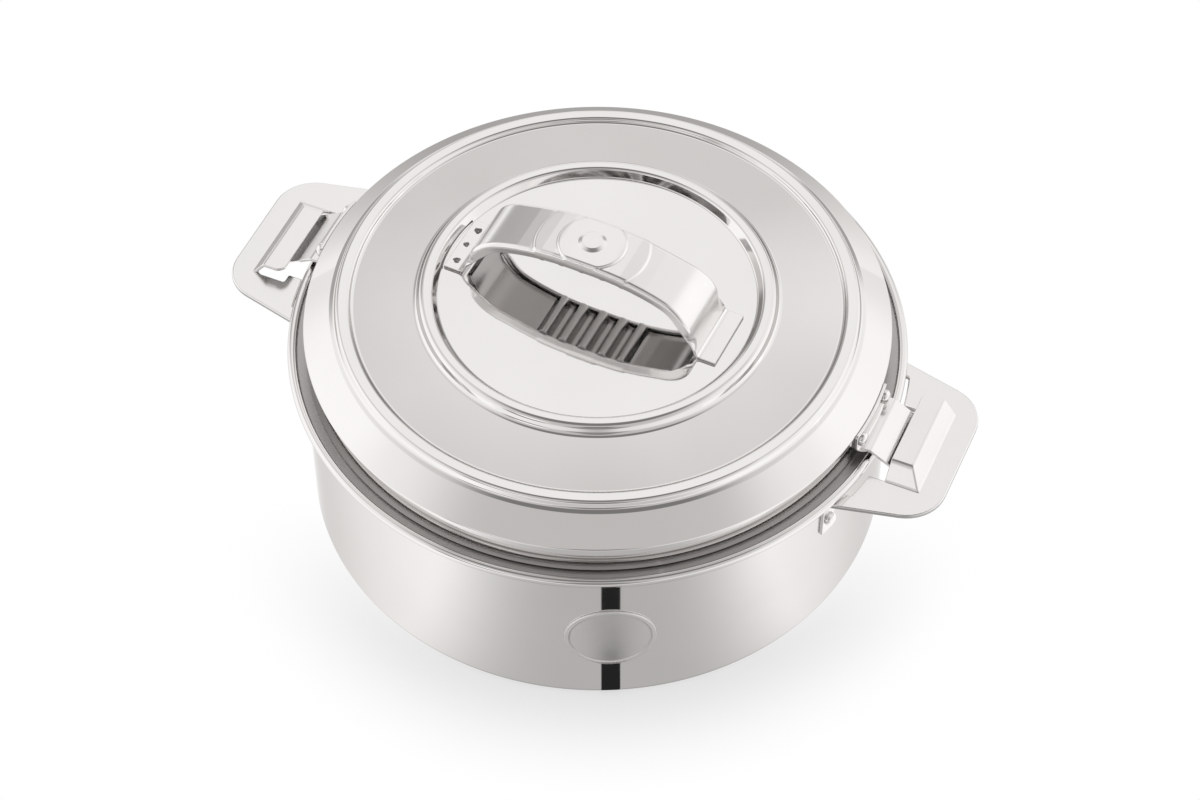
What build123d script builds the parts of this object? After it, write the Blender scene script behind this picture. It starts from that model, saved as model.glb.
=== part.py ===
from build123d import *
from math import asin, cos, degrees, radians, sin
import os

# Insulated steel casserole with a twist-lock lid, in millimetres.
# The origin is the centre of the foot, +Z is up and +X runs out through one side handle.
# Everything but the badge and the strap handle repeats after half a turn about Z.

os.makedirs("parts", exist_ok=True)

# Steel sheet, and the gaps between pieces that touch or pass each other
shell_sheet = 0.8
bowl_sheet = 0.8
base_sheet = 0.8
cover_sheet = 0.8
liner_sheet = 0.8
seat_gap = 0.05
foam_gap = 0.1
foam_edge = 0.5
running_gap = 0.3
overrun = 6.0
half_turn = 180.0

# Pot: straight wall, in-turned foot, rolled rim and stepped seat for the lid
shell_radius = 109.5
foot_width = 13.5
foot_corner = 4.0
ledge_height = 74.0
rim_overhang = 5.5
rim_bead_radius = 1.7
rim_bead_lift = 0.3
rim_flange = 1.9
neck_corner = 1.0
wall_insulation = 6.9
floor_insulation = 8.4
bowl_corner = 15.0
seat_width = 3.4
seat_step = 1.6
seat_slope = 0.6
ledge_corner = 0.9
seat_corner = 0.5
mouth_corner = 1.2

# Base plate that closes the foam space, and the plug of its filling hole
base_overlap = 8.5
panel_radius = 60.0
panel_slope = 4.0
panel_lift = 2.2
panel_corner = 2.0
filling_hole_radius = 6.0
plug_lip = 2.5
plug_head = 1.4
plug_barb = 1.0
plug_barb_height = 1.2

# Lid: skirt, flank, two pressed beads, sloped ring and recessed disc
lid_setback = 6.6
lid_gap = 0.5
lip_width = 3.8
skirt_height = 11.8
flank_run = 10.0
flank_rise = 7.9
shoulder_run = 1.8
shoulder_rise = 0.8
outer_bead_width = 6.4
outer_bead_height = 2.4
bead_slope = 1.0
ring_drop = 1.6
ring_width = 24.2
ring_rise = 2.4
inner_bead_height = 3.2
inner_bead_top_width = 3.4
recess_slope = 3.6
recess_depth = 3.2
fold_radius = 1.0
flank_corner = 2.0
bead_corner = 1.4

# Liner of the lid, which plugs the bowl, and its sealing ring
plug_clearance = 1.4
plug_depth = 8.0
liner_bend = 0.8
liner_corner = 5.0
seal_width = 4.0

# Strap handle of the lid, with its ribbed grip
strap_turn = -2.0
strap_shift = -2.0
strap_sheet = 1.0
strap_width = 21.0
strap_flange = 4.5
tab_width = 25.0
tab_end = 54.5
strap_foot = 47.0
strap_shoulder = 41.5
strap_shoulder_rise = 17.5
strap_crown = 18.0
strap_rise = 25.0
foot_bend = 3.0
shoulder_bend = 12.0
crown_bend = 80.0
flange_start_share = 0.12
grip_start_share = 0.6
middle_share = 0.5
grip_sheet = 1.2
rib_count = 5
rib_pitch = 8.2
rib_radius = 2.4
button_radius = 5.0
button_height = 0.8
button_round = 0.5

# Side handle: flat plate, pressed hood over the latch, two ears on the wall
plate_sheet = 1.8
plate_drop = 1.0
handle_reach = 28.0
handle_tip_half = 29.0
handle_root_half = 38.2
handle_corner = 15.8
notch_gap = 1.0
ear_sheet = 1.2
ear_width = 6.2
ear_inner = 30.2
ear_height = 19.5
hood_inset = 4.8
hood_width = 12.9
hood_slope = 3.8
hood_rise = 6.0
hood_sheet = 1.2
hood_wall = 1.2
hood_closed_end = 19.3
hood_mouth = 20.5
hood_end_slope = 6.0
mouth_slope = 1.5
hood_round = 1.2
lip_round = 3.5
slot_end = 16.3
window_setback = 0.3
window_corner = 2.5

# Latch on the lid: riveted flange and a tongue that turns in under the hood
latch_sheet = 1.2
latch_half = 14.2
latch_shift = -2.0
latch_head_gap = 0.4
tongue_root_drop = 6.8
tongue_shelf = 4.6
tongue_knee = 1.9
tongue_headroom = 2.9
tongue_tip_gap = 2.5
tongue_end_gap = 0.4
tongue_bend = 2.0
latch_rivet_spread = 21.6
latch_rivet_drop = 3.5

# Rivets
handle_shank = 1.6
handle_head = 2.7
latch_shank = 1.8
latch_head = 2.75
head_height = 2.2
head_round = 1.9
tail_height = 1.2
tail_lip = 1.0
rivet_clearance = 0.1
handle_rivet_lift = 6.8

# Blank oval badge on the front of the wall
badge_width = 33.2
badge_height = 32.0
badge_sheet = 0.8
badge_angle = -63.9
badge_centre = 36.3

# Radii and heights of the pot that follow from the sizes above
rim_radius = shell_radius + rim_overhang
bead_centre = rim_radius - rim_bead_radius
bead_height = ledge_height + rim_bead_lift
bowl_radius = shell_radius - shell_sheet - wall_insulation - bowl_sheet
base_radius = shell_radius - foot_width + base_overlap
base_seat = shell_sheet + seat_gap
base_top = base_seat + base_sheet
panel_height = base_seat + panel_lift
panel_top = panel_height + base_sheet
bowl_floor = panel_top + floor_insulation + bowl_sheet
seat_height = ledge_height - seat_step
seat_radius = bowl_radius + seat_width
flange_height = ledge_height - bowl_sheet - foam_gap - shell_sheet
foam_top = seat_height - bowl_sheet - running_gap
foam_radius = shell_radius - shell_sheet - foam_gap

# Radii and heights of the lid
lid_radius = rim_radius - lid_setback
skirt_bottom = ledge_height + lid_gap
skirt_top = skirt_bottom + skirt_height
flank_radius = lid_radius - flank_run
flank_top = skirt_top + flank_rise
shoulder_radius = flank_radius - shoulder_run
shoulder_top = flank_top + shoulder_rise
outer_bead_top = shoulder_top + outer_bead_height
ring_radius = shoulder_radius - outer_bead_width
ring_height = outer_bead_top - ring_drop
inner_bead_radius = ring_radius - ring_width
inner_bead_foot = ring_height + ring_rise
inner_bead_top = inner_bead_foot + inner_bead_height
recess_edge = inner_bead_radius - bead_slope - inner_bead_top_width
recess_radius = recess_edge - recess_slope
recess_floor = inner_bead_top - recess_depth
liner_flange = skirt_bottom + cover_sheet + seat_gap
liner_radius = lid_radius - cover_sheet - foam_gap
plug_radius = bowl_radius - plug_clearance
liner_floor = liner_flange - plug_depth
strap_seat = recess_floor + seat_gap
strap_top = strap_seat + strap_rise + strap_sheet

# Places on the side handles and latches
plate_top = bead_height - rim_bead_radius - plate_drop
plate_bottom = plate_top - plate_sheet
handle_tip = rim_radius + handle_reach
notch_radius = rim_radius + notch_gap
ear_face = shell_radius + seat_gap
ear_bottom = plate_top - ear_height
hood_side = notch_radius + hood_inset
hood_outer = hood_side + hood_width
hood_top = plate_top + hood_rise
hood_ceiling = hood_top - hood_sheet
latch_face = lid_radius + seat_gap
tongue_top = hood_ceiling - tongue_headroom
tongue_root = skirt_top - tongue_root_drop
pocket_share = (tongue_top - plate_bottom) / (hood_ceiling - plate_bottom)
pocket_end = -hood_closed_end + hood_wall + hood_end_slope * pocket_share
pocket_side = hood_outer - hood_wall - hood_slope * pocket_share
latch_low = latch_shift - latch_half
latch_high = latch_shift + latch_half
tongue_low = pocket_end + tongue_end_gap
tongue_tip = pocket_side - tongue_tip_gap


def band(points, radii, thickness, side):
    """Section of a pressed sheet: a rounded line through the points, thickened to one side."""
    with BuildSketch() as section:
        with BuildLine():
            FilletPolyline(*points, radius=radii)
            offset(amount=thickness, side=side)
        make_face()
    return section.sketch_local


def area(*points):
    """Section bounded by straight lines through the points."""
    with BuildSketch() as section:
        with BuildLine():
            Polyline(*points, close=True)
        make_face()
    return section.sketch_local


def rounded(*points, radii):
    """Section like area, with every corner but the first and the last rounded."""
    with BuildSketch() as section:
        with BuildLine():
            FilletPolyline(*points, radius=radii)
            Line(points[-1], points[0])
        make_face()
    return section.sketch_local


def between(low_x, high_x, low_y, high_y):
    """Rectangle between two values of x and two of y."""
    return area((low_x, low_y), (high_x, low_y), (high_x, high_y), (low_x, high_y))


def notch(radius, half_width):
    """The part of a circle about the origin that lies within a half width of the X axis."""
    with BuildSketch() as section:
        Circle(radius)
        add(between(0, radius, -half_width, half_width), mode=Mode.INTERSECT)
    return section.sketch_local


def part_way(start, end, share):
    """Point at a share of the way from start to end."""
    return (start[0] + (end[0] - start[0]) * share, start[1] + (end[1] - start[1]) * share)


def mirrored(points):
    """The points, followed by their mirror images across x = 0 in reverse order."""
    return points + [(-x, z) for x, z in reversed(points)]


def radial_plane(radius, angle, height):
    """Plane that faces straight out from the Z axis."""
    out = (cos(radians(angle)), sin(radians(angle)), 0)
    return Plane(origin=(radius * out[0], radius * out[1], height), z_dir=out)


def radial_planes(radius, offsets, height, turn):
    """One plane for each offset along Y, on the side of the casserole that the turn faces."""
    return [radial_plane(radius, turn + degrees(asin(y / radius)), height) for y in offsets]


def rivet(plane, shank, head, grip):
    """Rivet with a domed head on the plane, a shank through the grip and a flat tail behind it."""
    with BuildPart() as body:
        with BuildSketch(plane):
            Circle(head)
        extrude(amount=head_height)
        crown = body.faces().sort_by(Axis(plane.origin, plane.z_dir))[-1]
        fillet(crown.edges(), head_round)
        with BuildSketch(plane):
            Circle(shank)
        extrude(amount=-grip)
        with BuildSketch(plane.offset(-grip)):
            Circle(shank + tail_lip)
        extrude(amount=-tail_height)
    return body.part


# Rivet places on the right and left sides, shared by the pieces that they pass through
ear_outer = ear_face + ear_sheet
ear_middle = ear_inner + ear_width / 2
ear_grip = ear_sheet + seat_gap + shell_sheet + seat_gap
rivet_height = ear_bottom + handle_rivet_lift
ear_offsets = (-ear_middle, ear_middle)
right_ear_planes = radial_planes(ear_outer, ear_offsets, rivet_height, 0)
left_ear_planes = radial_planes(ear_outer, ear_offsets, rivet_height, half_turn)
latch_outer = latch_face + latch_sheet
latch_grip = latch_sheet + seat_gap + cover_sheet + seat_gap
latch_rivet_height = skirt_top - latch_rivet_drop
latch_offsets = (latch_shift - latch_rivet_spread / 2, latch_shift + latch_rivet_spread / 2)
right_latch_planes = radial_planes(latch_outer, latch_offsets, latch_rivet_height, 0)
left_latch_planes = radial_planes(latch_outer, latch_offsets, latch_rivet_height, half_turn)


# Outer shell: foot, straight wall and a narrow flange that carries the bowl
shell_line = [
    (shell_radius - foot_width, 0),
    (shell_radius, 0),
    (shell_radius, flange_height),
    (shell_radius + rim_flange, flange_height),
]
with BuildPart() as outer_shell:
    with BuildSketch(Plane.XZ):
        add(band(shell_line, [foot_corner, neck_corner], shell_sheet, Side.LEFT))
    revolve(axis=Axis.Z)
    for plane in right_ear_planes + left_ear_planes:
        with BuildSketch(plane):
            Circle(handle_shank + rivet_clearance)
        extrude(amount=-ear_grip - overrun, mode=Mode.SUBTRACT)

# Inner bowl: rolled rim bead, ledge, stepped seat, wall and floor
bowl_line = [
    (bead_centre, ledge_height),
    (seat_radius + seat_slope, ledge_height),
    (seat_radius, seat_height),
    (bowl_radius, seat_height),
    (bowl_radius, bowl_floor),
    (0, bowl_floor),
]
with BuildPart() as inner_bowl:
    with BuildSketch(Plane.XZ):
        add(band(bowl_line, [ledge_corner, seat_corner, mouth_corner, bowl_corner], bowl_sheet, Side.LEFT))
        with Locations((bead_centre, bead_height)):
            Circle(rim_bead_radius)
    revolve(axis=Axis.Z)

# Base plate: pressed disc on the foot, raised in the middle, with the filling hole
base_line = [
    (filling_hole_radius, panel_height),
    (panel_radius, panel_height),
    (panel_radius + panel_slope, base_seat),
    (base_radius, base_seat),
]
with BuildPart() as base_plate:
    with BuildSketch(Plane.XZ):
        add(band(base_line, panel_corner, base_sheet, Side.LEFT))
    revolve(axis=Axis.Z)

# Plug that snaps into the filling hole
plug_head_radius = filling_hole_radius + plug_lip
plug_shank_radius = filling_hole_radius - seat_gap
plug_barb_radius = filling_hole_radius + plug_barb
plug_barb_seat = panel_top + seat_gap
plug_top = plug_barb_seat + plug_barb_height
with BuildPart() as filling_plug:
    with BuildSketch(Plane.XZ):
        add(between(0, plug_head_radius, panel_height - plug_head, panel_height - seat_gap))
        add(between(0, plug_shank_radius, panel_height - plug_head, plug_top))
        add(between(0, plug_barb_radius, plug_barb_seat, plug_top))
    revolve(axis=Axis.Z)

# Foam that fills the space between shell, base plate and bowl
bowl_outside = bowl_radius + bowl_sheet + foam_gap
bowl_under = bowl_floor - bowl_sheet - foam_gap
with BuildPart() as body_insulation:
    with BuildSketch(Plane.XZ):
        add(
            rounded(
                (0, base_top + foam_gap),
                (foam_radius, base_top + foam_gap),
                (foam_radius, foam_top),
                (0, foam_top),
                radii=[foot_corner - shell_sheet, foam_edge],
            )
        )
        add(
            rounded(
                (0, bowl_under),
                (bowl_outside, bowl_under),
                (bowl_outside, foam_top + overrun),
                (0, foam_top + overrun),
                radii=[bowl_corner + bowl_sheet + foam_gap, foam_edge],
            ),
            mode=Mode.SUBTRACT,
        )
        add(
            area(
                (0, 0),
                (panel_radius + panel_slope + base_sheet, 0),
                (panel_radius + panel_slope + base_sheet, base_top + foam_gap),
                (panel_radius + base_sheet, panel_top + foam_gap),
                (0, panel_top + foam_gap),
            ),
            mode=Mode.SUBTRACT,
        )
        add(between(0, plug_barb_radius + foam_gap, 0, plug_top + foam_gap), mode=Mode.SUBTRACT)
    revolve(axis=Axis.Z)
    for plane in right_ear_planes + left_ear_planes:
        with BuildSketch(plane):
            Circle(handle_shank + tail_lip + rivet_clearance)
        extrude(amount=-ear_grip - tail_height - foam_gap, mode=Mode.SUBTRACT)

# Lid cover: one pressing from the lip under the skirt to the recessed disc
cover_line = [
    (lid_radius - lip_width, skirt_bottom),
    (lid_radius, skirt_bottom),
    (lid_radius, skirt_top),
    (flank_radius, flank_top),
    (shoulder_radius, shoulder_top),
    (shoulder_radius - bead_slope, outer_bead_top),
    (ring_radius + bead_slope, outer_bead_top),
    (ring_radius, ring_height),
    (inner_bead_radius, inner_bead_foot),
    (inner_bead_radius - bead_slope, inner_bead_top),
    (recess_edge, inner_bead_top),
    (recess_radius, recess_floor),
    (0, recess_floor),
]
cover_radii = [fold_radius, fold_radius, flank_corner]
cover_radii += [bead_corner] * (len(cover_line) - len(cover_radii) - 2)
with BuildPart() as lid_cover:
    with BuildSketch(Plane.XZ):
        add(band(cover_line, cover_radii, cover_sheet, Side.LEFT))
    revolve(axis=Axis.Z)
    for plane in right_latch_planes + left_latch_planes:
        with BuildSketch(plane):
            Circle(latch_shank + rivet_clearance)
        extrude(amount=-latch_grip - overrun / 2, mode=Mode.SUBTRACT)

# Lid liner: flange held inside the skirt, and a pan that plugs the bowl
liner_line = [
    (liner_radius, liner_flange),
    (plug_radius, liner_flange),
    (plug_radius, liner_floor),
    (0, liner_floor),
]
with BuildPart() as lid_liner:
    with BuildSketch(Plane.XZ):
        add(band(liner_line, [liner_bend, liner_corner], liner_sheet, Side.RIGHT))
    revolve(axis=Axis.Z)

# Foam inside the lid
liner_top = liner_flange + liner_sheet + foam_gap
liner_inside = plug_radius - liner_sheet - foam_gap
liner_foam_floor = liner_floor + liner_sheet + foam_gap
with BuildPart() as lid_insulation:
    with BuildSketch(Plane.XZ):
        with BuildLine():
            FilletPolyline((lid_radius, liner_top), *cover_line[2:], radius=cover_radii[1:])
            Line((0, recess_floor), (0, liner_foam_floor))
            FilletPolyline(
                (0, liner_foam_floor),
                (liner_inside, liner_foam_floor),
                (liner_inside, liner_top),
                radius=liner_corner - liner_sheet,
            )
            Line((liner_inside, liner_top), (lid_radius, liner_top))
        make_face()
        add(band(cover_line, cover_radii, cover_sheet + foam_gap, Side.LEFT), mode=Mode.SUBTRACT)
    revolve(axis=Axis.Z)
    for plane in right_latch_planes + left_latch_planes:
        with BuildSketch(plane):
            Circle(latch_shank + tail_lip + rivet_clearance)
        extrude(amount=-latch_grip - tail_height - foam_gap, mode=Mode.SUBTRACT)

# Sealing ring that lies on the seat, under the flange of the liner
seal_inner = plug_radius + running_gap
seal_bottom = seat_height + running_gap
with BuildPart() as lid_seal:
    with BuildSketch(Plane.XZ):
        add(between(seal_inner, seal_inner + seal_width, seal_bottom, liner_flange - running_gap))
    revolve(axis=Axis.Z)

# Strap handle: tabs on the recessed disc, an arched web with turned-down flanges, and a button
foot = (-strap_foot, strap_seat)
shoulder = (-strap_shoulder, strap_seat + strap_shoulder_rise)
crown = (-strap_crown, strap_seat + strap_rise)
strap_line = mirrored([(-tab_end, strap_seat), foot, shoulder, crown])
strap_radii = [foot_bend, shoulder_bend, crown_bend, crown_bend, shoulder_bend, foot_bend]
arch_radii = [shoulder_bend, crown_bend, crown_bend, shoulder_bend]
flange_line = mirrored([part_way(foot, shoulder, flange_start_share), shoulder, crown])
strap_along = (cos(radians(strap_turn)), sin(radians(strap_turn)), 0)
strap_middle = (strap_shift * strap_along[0], strap_shift * strap_along[1], 0)
strap_side = Plane(origin=strap_middle, x_dir=strap_along, z_dir=(strap_along[1], -strap_along[0], 0))
strap_flat = Plane(origin=strap_middle, x_dir=strap_along, z_dir=(0, 0, 1))
with BuildPart() as handle_strap:
    with BuildSketch(strap_side):
        add(band(strap_line, strap_radii, strap_sheet, Side.LEFT))
    extrude(amount=strap_width / 2, both=True)
    with BuildSketch(strap_side.offset(strap_width / 2 - strap_sheet)):
        add(band(flange_line, arch_radii, strap_flange - strap_sheet, Side.RIGHT))
    extrude(amount=strap_sheet)
    mirror(about=strap_side)
    tab_start = strap_foot + foot_bend
    for low_x, high_x in ((-tab_end, -tab_start), (tab_start, tab_end)):
        with BuildSketch(strap_flat.offset(strap_seat)):
            add(between(low_x, high_x, -tab_width / 2, tab_width / 2))
        extrude(amount=strap_sheet)
    with BuildSketch(strap_flat.offset(strap_top - strap_sheet / 2)):
        Circle(button_radius)
    extrude(amount=strap_sheet / 2 + button_height)
    fillet(handle_strap.faces().sort_by(Axis.Z)[-1].edges(), button_round)

# Ribbed grip that fills the underside of the strap
grip_line = mirrored([part_way(foot, shoulder, grip_start_share), shoulder, crown])
with BuildLine() as grip_curve:
    FilletPolyline(*grip_line, radius=arch_radii)
grip_path = grip_curve.wires()[0]
with BuildPart() as handle_grip:
    with BuildSketch(strap_side):
        add(band(grip_line, arch_radii, seat_gap + grip_sheet, Side.RIGHT))
        for rib in range(rib_count):
            along = (rib - (rib_count - 1) / 2) * rib_pitch
            point = grip_path @ (middle_share + along / grip_path.length)
            with Locations((point.X, point.Y - seat_gap - grip_sheet)):
                Circle(rib_radius)
        add(band(grip_line, arch_radii, seat_gap, Side.RIGHT), mode=Mode.SUBTRACT)
        add(band(grip_line, arch_radii, strap_flange, Side.LEFT), mode=Mode.SUBTRACT)
    extrude(amount=strap_width / 2 - strap_sheet - seat_gap, both=True)

# Right side handle: hood with its pocket first, then the plate with the hood's window, then the ears
with BuildPart() as right_side_handle:
    with BuildSketch(Plane.XY.offset(plate_bottom)):
        add(between(hood_side, hood_outer, -hood_closed_end, hood_mouth))
    with BuildSketch(Plane.XY.offset(hood_top)):
        top_end = -hood_closed_end + hood_end_slope
        add(between(hood_side, hood_outer - hood_slope, top_end, hood_mouth - mouth_slope))
    loft()
    hood_roof = right_side_handle.faces().sort_by(Axis.Z)[-1]
    fillet([hood_roof.edges().sort_by(Axis.X)[-1], hood_roof.edges().sort_by(Axis.Y)[0]], hood_round)
    inner_edges = right_side_handle.edges().group_by(Axis.X)[0]
    fillet(inner_edges.sort_by(Axis.Y)[-1], lip_round)
    pocket_outer = hood_outer - hood_wall
    pocket_low = -hood_closed_end + hood_wall
    with BuildSketch(Plane.XY.offset(plate_bottom)):
        add(between(hood_side - overrun, pocket_outer, pocket_low, hood_mouth + overrun))
    with BuildSketch(Plane.XY.offset(hood_ceiling)):
        ceiling_low = pocket_low + hood_end_slope
        add(between(hood_side - overrun, pocket_outer - hood_slope, ceiling_low, hood_mouth + overrun))
    loft(mode=Mode.SUBTRACT)
    with BuildSketch(Plane.XY.offset(plate_bottom)) as plate_outline:
        add(
            area(
                (ear_face - overrun, -handle_root_half),
                (handle_tip, -handle_tip_half),
                (handle_tip, handle_tip_half),
                (ear_face - overrun, handle_root_half),
            )
        )
        fillet(plate_outline.vertices().group_by(Axis.X)[-1], handle_corner)
        Circle(ear_face, mode=Mode.SUBTRACT)
        add(notch(notch_radius, ear_inner), mode=Mode.SUBTRACT)
        add(between(0, hood_side, -hood_closed_end, slot_end), mode=Mode.SUBTRACT)
        add(
            rounded(
                (hood_side, pocket_low),
                (hood_side, hood_mouth - window_setback),
                (pocket_outer, hood_mouth - window_setback),
                (pocket_outer, pocket_low),
                radii=window_corner,
            ),
            mode=Mode.SUBTRACT,
        )
    extrude(amount=plate_sheet)
    with BuildSketch(Plane.XY.offset(ear_bottom)):
        Circle(ear_outer)
        Circle(ear_face, mode=Mode.SUBTRACT)
        ear_tip = ear_inner + ear_width
        add(between(0, ear_outer, -ear_tip, ear_tip), mode=Mode.INTERSECT)
        add(between(0, ear_outer, -ear_inner, ear_inner), mode=Mode.SUBTRACT)
    extrude(amount=ear_height)
    for plane in right_ear_planes:
        with BuildSketch(plane):
            Circle(handle_shank + rivet_clearance)
        extrude(amount=-ear_grip - overrun, mode=Mode.SUBTRACT)

with BuildPart() as left_side_handle:
    add(right_side_handle.part, rotation=(0, 0, half_turn))

# Rivets that hold the ears to the wall
with BuildPart() as right_handle_rivets:
    for plane in right_ear_planes:
        add(rivet(plane, handle_shank, handle_head, ear_grip))

with BuildPart() as left_handle_rivets:
    for plane in left_ear_planes:
        add(rivet(plane, handle_shank, handle_head, ear_grip))

# Right latch: flange bent round the skirt, and a tongue that steps down over the rim
tongue_line = [
    (latch_face - overrun, tongue_root),
    (lid_radius + tongue_shelf, tongue_root),
    (hood_side - tongue_knee, tongue_top),
    (tongue_tip, tongue_top),
]
with BuildPart() as right_latch:
    with BuildSketch(Plane.XZ.offset(-latch_high)):
        add(band(tongue_line, tongue_bend, latch_sheet, Side.RIGHT))
    extrude(amount=latch_high - tongue_low)
    with BuildSketch(Plane.XY.offset(tongue_top - overrun)):
        Circle(latch_face)
    extrude(amount=tongue_root - tongue_top + overrun + overrun, mode=Mode.SUBTRACT)
    with BuildSketch(Plane.XY.offset(tongue_root - latch_sheet)):
        Circle(latch_outer)
        Circle(latch_face, mode=Mode.SUBTRACT)
        add(between(0, latch_outer, latch_low, latch_high), mode=Mode.INTERSECT)
    extrude(amount=tongue_root_drop - latch_head_gap + latch_sheet)
    for plane in right_latch_planes:
        with BuildSketch(plane):
            Circle(latch_shank + rivet_clearance)
        extrude(amount=-latch_grip - overrun, mode=Mode.SUBTRACT)

with BuildPart() as left_latch:
    add(right_latch.part, rotation=(0, 0, half_turn))

# Rivets that hold the latches to the skirt
with BuildPart() as right_latch_rivets:
    for plane in right_latch_planes:
        add(rivet(plane, latch_shank, latch_head, latch_grip))

with BuildPart() as left_latch_rivets:
    for plane in left_latch_planes:
        add(rivet(plane, latch_shank, latch_head, latch_grip))

# Blank badge: an oval cut from a thin ring that lies on the wall
badge_face = shell_radius + seat_gap
with BuildPart() as badge_plate:
    with BuildSketch(radial_plane(shell_radius - overrun, badge_angle, badge_centre)):
        Ellipse(badge_width / 2, badge_height / 2)
    extrude(amount=overrun + overrun)
    with BuildSketch(Plane.XY.offset(badge_centre - badge_height)):
        Circle(badge_face + badge_sheet)
        Circle(badge_face, mode=Mode.SUBTRACT)
    extrude(amount=badge_height + badge_height, mode=Mode.INTERSECT)

pieces = {
    "outer_shell": outer_shell,
    "inner_bowl": inner_bowl,
    "base_plate": base_plate,
    "filling_plug": filling_plug,
    "body_insulation": body_insulation,
    "right_side_handle": right_side_handle,
    "left_side_handle": left_side_handle,
    "right_handle_rivets": right_handle_rivets,
    "left_handle_rivets": left_handle_rivets,
    "badge_plate": badge_plate,
    "lid_seal": lid_seal,
    "lid_cover": lid_cover,
    "lid_liner": lid_liner,
    "lid_insulation": lid_insulation,
    "handle_strap": handle_strap,
    "handle_grip": handle_grip,
    "right_latch": right_latch,
    "left_latch": left_latch,
    "right_latch_rivets": right_latch_rivets,
    "left_latch_rivets": left_latch_rivets,
}
for node, piece in pieces.items():
    piece.part.label = node
    export_step(piece.part, f"parts/{node}.step")
    print(node, "solids", len(piece.part.solids()), "volume", round(piece.part.volume, 1))
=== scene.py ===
# %% [markdown]
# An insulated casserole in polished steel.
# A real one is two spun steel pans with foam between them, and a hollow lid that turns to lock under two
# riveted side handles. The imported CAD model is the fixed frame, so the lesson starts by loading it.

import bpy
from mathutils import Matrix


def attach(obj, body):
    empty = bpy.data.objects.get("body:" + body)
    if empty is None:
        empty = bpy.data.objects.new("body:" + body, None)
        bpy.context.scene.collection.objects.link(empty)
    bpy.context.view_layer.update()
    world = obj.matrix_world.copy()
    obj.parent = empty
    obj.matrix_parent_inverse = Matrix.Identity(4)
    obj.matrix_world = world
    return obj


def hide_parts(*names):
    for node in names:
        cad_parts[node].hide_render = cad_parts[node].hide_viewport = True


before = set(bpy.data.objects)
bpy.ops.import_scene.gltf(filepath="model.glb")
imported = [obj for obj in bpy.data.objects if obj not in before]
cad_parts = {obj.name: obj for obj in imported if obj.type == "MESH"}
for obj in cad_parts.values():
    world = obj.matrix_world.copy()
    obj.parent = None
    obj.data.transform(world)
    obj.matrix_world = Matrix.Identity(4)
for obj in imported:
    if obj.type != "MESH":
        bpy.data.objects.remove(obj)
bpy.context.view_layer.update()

# %% [markdown]
# All sizes below are in millimetres, as a tin-plate worker would write them, and turn into metres in one
# place. numpy keeps whole rows of points, which is quicker than moving one vertex at a time.

# %% Tools and units
import math

import bpy
import numpy as np
from mathutils import Vector

MM = 0.001
TINY = 1e-6

# %% [markdown]
# Sheet metal is straight runs joined by bends. This helper walks along the corners of a drawn line and rounds
# each one. A bevel modifier could do that too, but here each point also keeps the exact direction that it
# faces. A mirror finish shows every small error in those directions, so they are worth the trouble.

# %% A pressed line with rounded bends
BEND_STEP = math.radians(9)


def unit(way):
    return way / np.linalg.norm(way)


def left_of(way):
    return np.array((-way[1], way[0]))


def turned(way, angle):
    cos, sin = math.cos(angle), math.sin(angle)
    return np.array((way[0] * cos - way[1] * sin, way[0] * sin + way[1] * cos))


def pressed_line(corners, bends, closed=False, step=BEND_STEP):
    """Points along a line with rounded corners, and the direction to the left of each point."""
    corners = [np.array(corner, float) for corner in corners]
    if closed:
        trios = zip(corners[-1:] + corners[:-1], corners, corners[1:] + corners[:1])
    else:
        trios = zip(corners, corners[1:], corners[2:])
    points, lefts = [], []
    if not closed:
        points.append(corners[0])
        lefts.append(left_of(unit(corners[1] - corners[0])))
    for (before, corner, after), bend in zip(trios, bends):
        way_in, way_out = unit(corner - before), unit(after - corner)
        turn = math.atan2(way_in[0] * way_out[1] - way_in[1] * way_out[0], way_in @ way_out)
        side = math.copysign(1, turn)
        reach = bend * math.tan(abs(turn) / 2)
        centre = corner - way_in * reach + left_of(way_in) * bend * side
        count = max(2, math.ceil(abs(turn) / step))
        for k in range(count + 1):
            left = turned(left_of(way_in), turn * k / count)
            points.append(centre - left * bend * side)
            lefts.append(left)
    if not closed:
        points.append(corners[-1])
        lefts.append(left_of(unit(corners[-1] - corners[-2])))
    return np.array(points), np.array(lefts)


print("a quarter bend has", len(pressed_line([(0, 0), (9, 0), (9, 9)], [2])[0]), "points")

# %% [markdown]
# A sheet has two faces and a cut edge. The section of a pressed sheet is the drawn line, the same line one
# thickness away, and a small half round at each cut end, because a deburred edge catches a thin light.

# %% The section of a pressed sheet
EDGE_STEPS = 6


def sheet_section(corners, bends, thickness, side):
    """Closed outline of a sheet that lies on the left (side 1) or right (side -1) of the line."""
    line, lefts = pressed_line(corners, bends)
    back = line + lefts * thickness * side

    def cut_edge(index, forward):
        if line[index][0] < TINY:
            return [], []
        middle = (line[index] + back[index]) / 2
        out = turned(lefts[index], -math.pi / 2) * forward
        angles = [math.pi * k / EDGE_STEPS for k in range(1, EDGE_STEPS)]
        ways = [-lefts[index] * side * math.cos(a) + out * math.sin(a) for a in angles]
        return [middle + way * thickness / 2 for way in ways], ways

    end_points, end_ways = cut_edge(-1, 1)
    start_points, start_ways = cut_edge(0, -1)
    points = [*line, *end_points, *back[::-1], *start_points[::-1]]
    ways = [*(-lefts * side), *end_ways, *(lefts[::-1] * side), *start_ways[::-1]]
    return np.array(points), np.array(ways)


# %% [markdown]
# Round pans are spun on a lathe, and the mesh is made the same way: the section is carried round the upright
# axis. Blender's screw modifier would do it as well. Doing it by hand lets the point on the axis be a single
# vertex, so the floor of a pan has no hole and no pinched faces.

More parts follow.
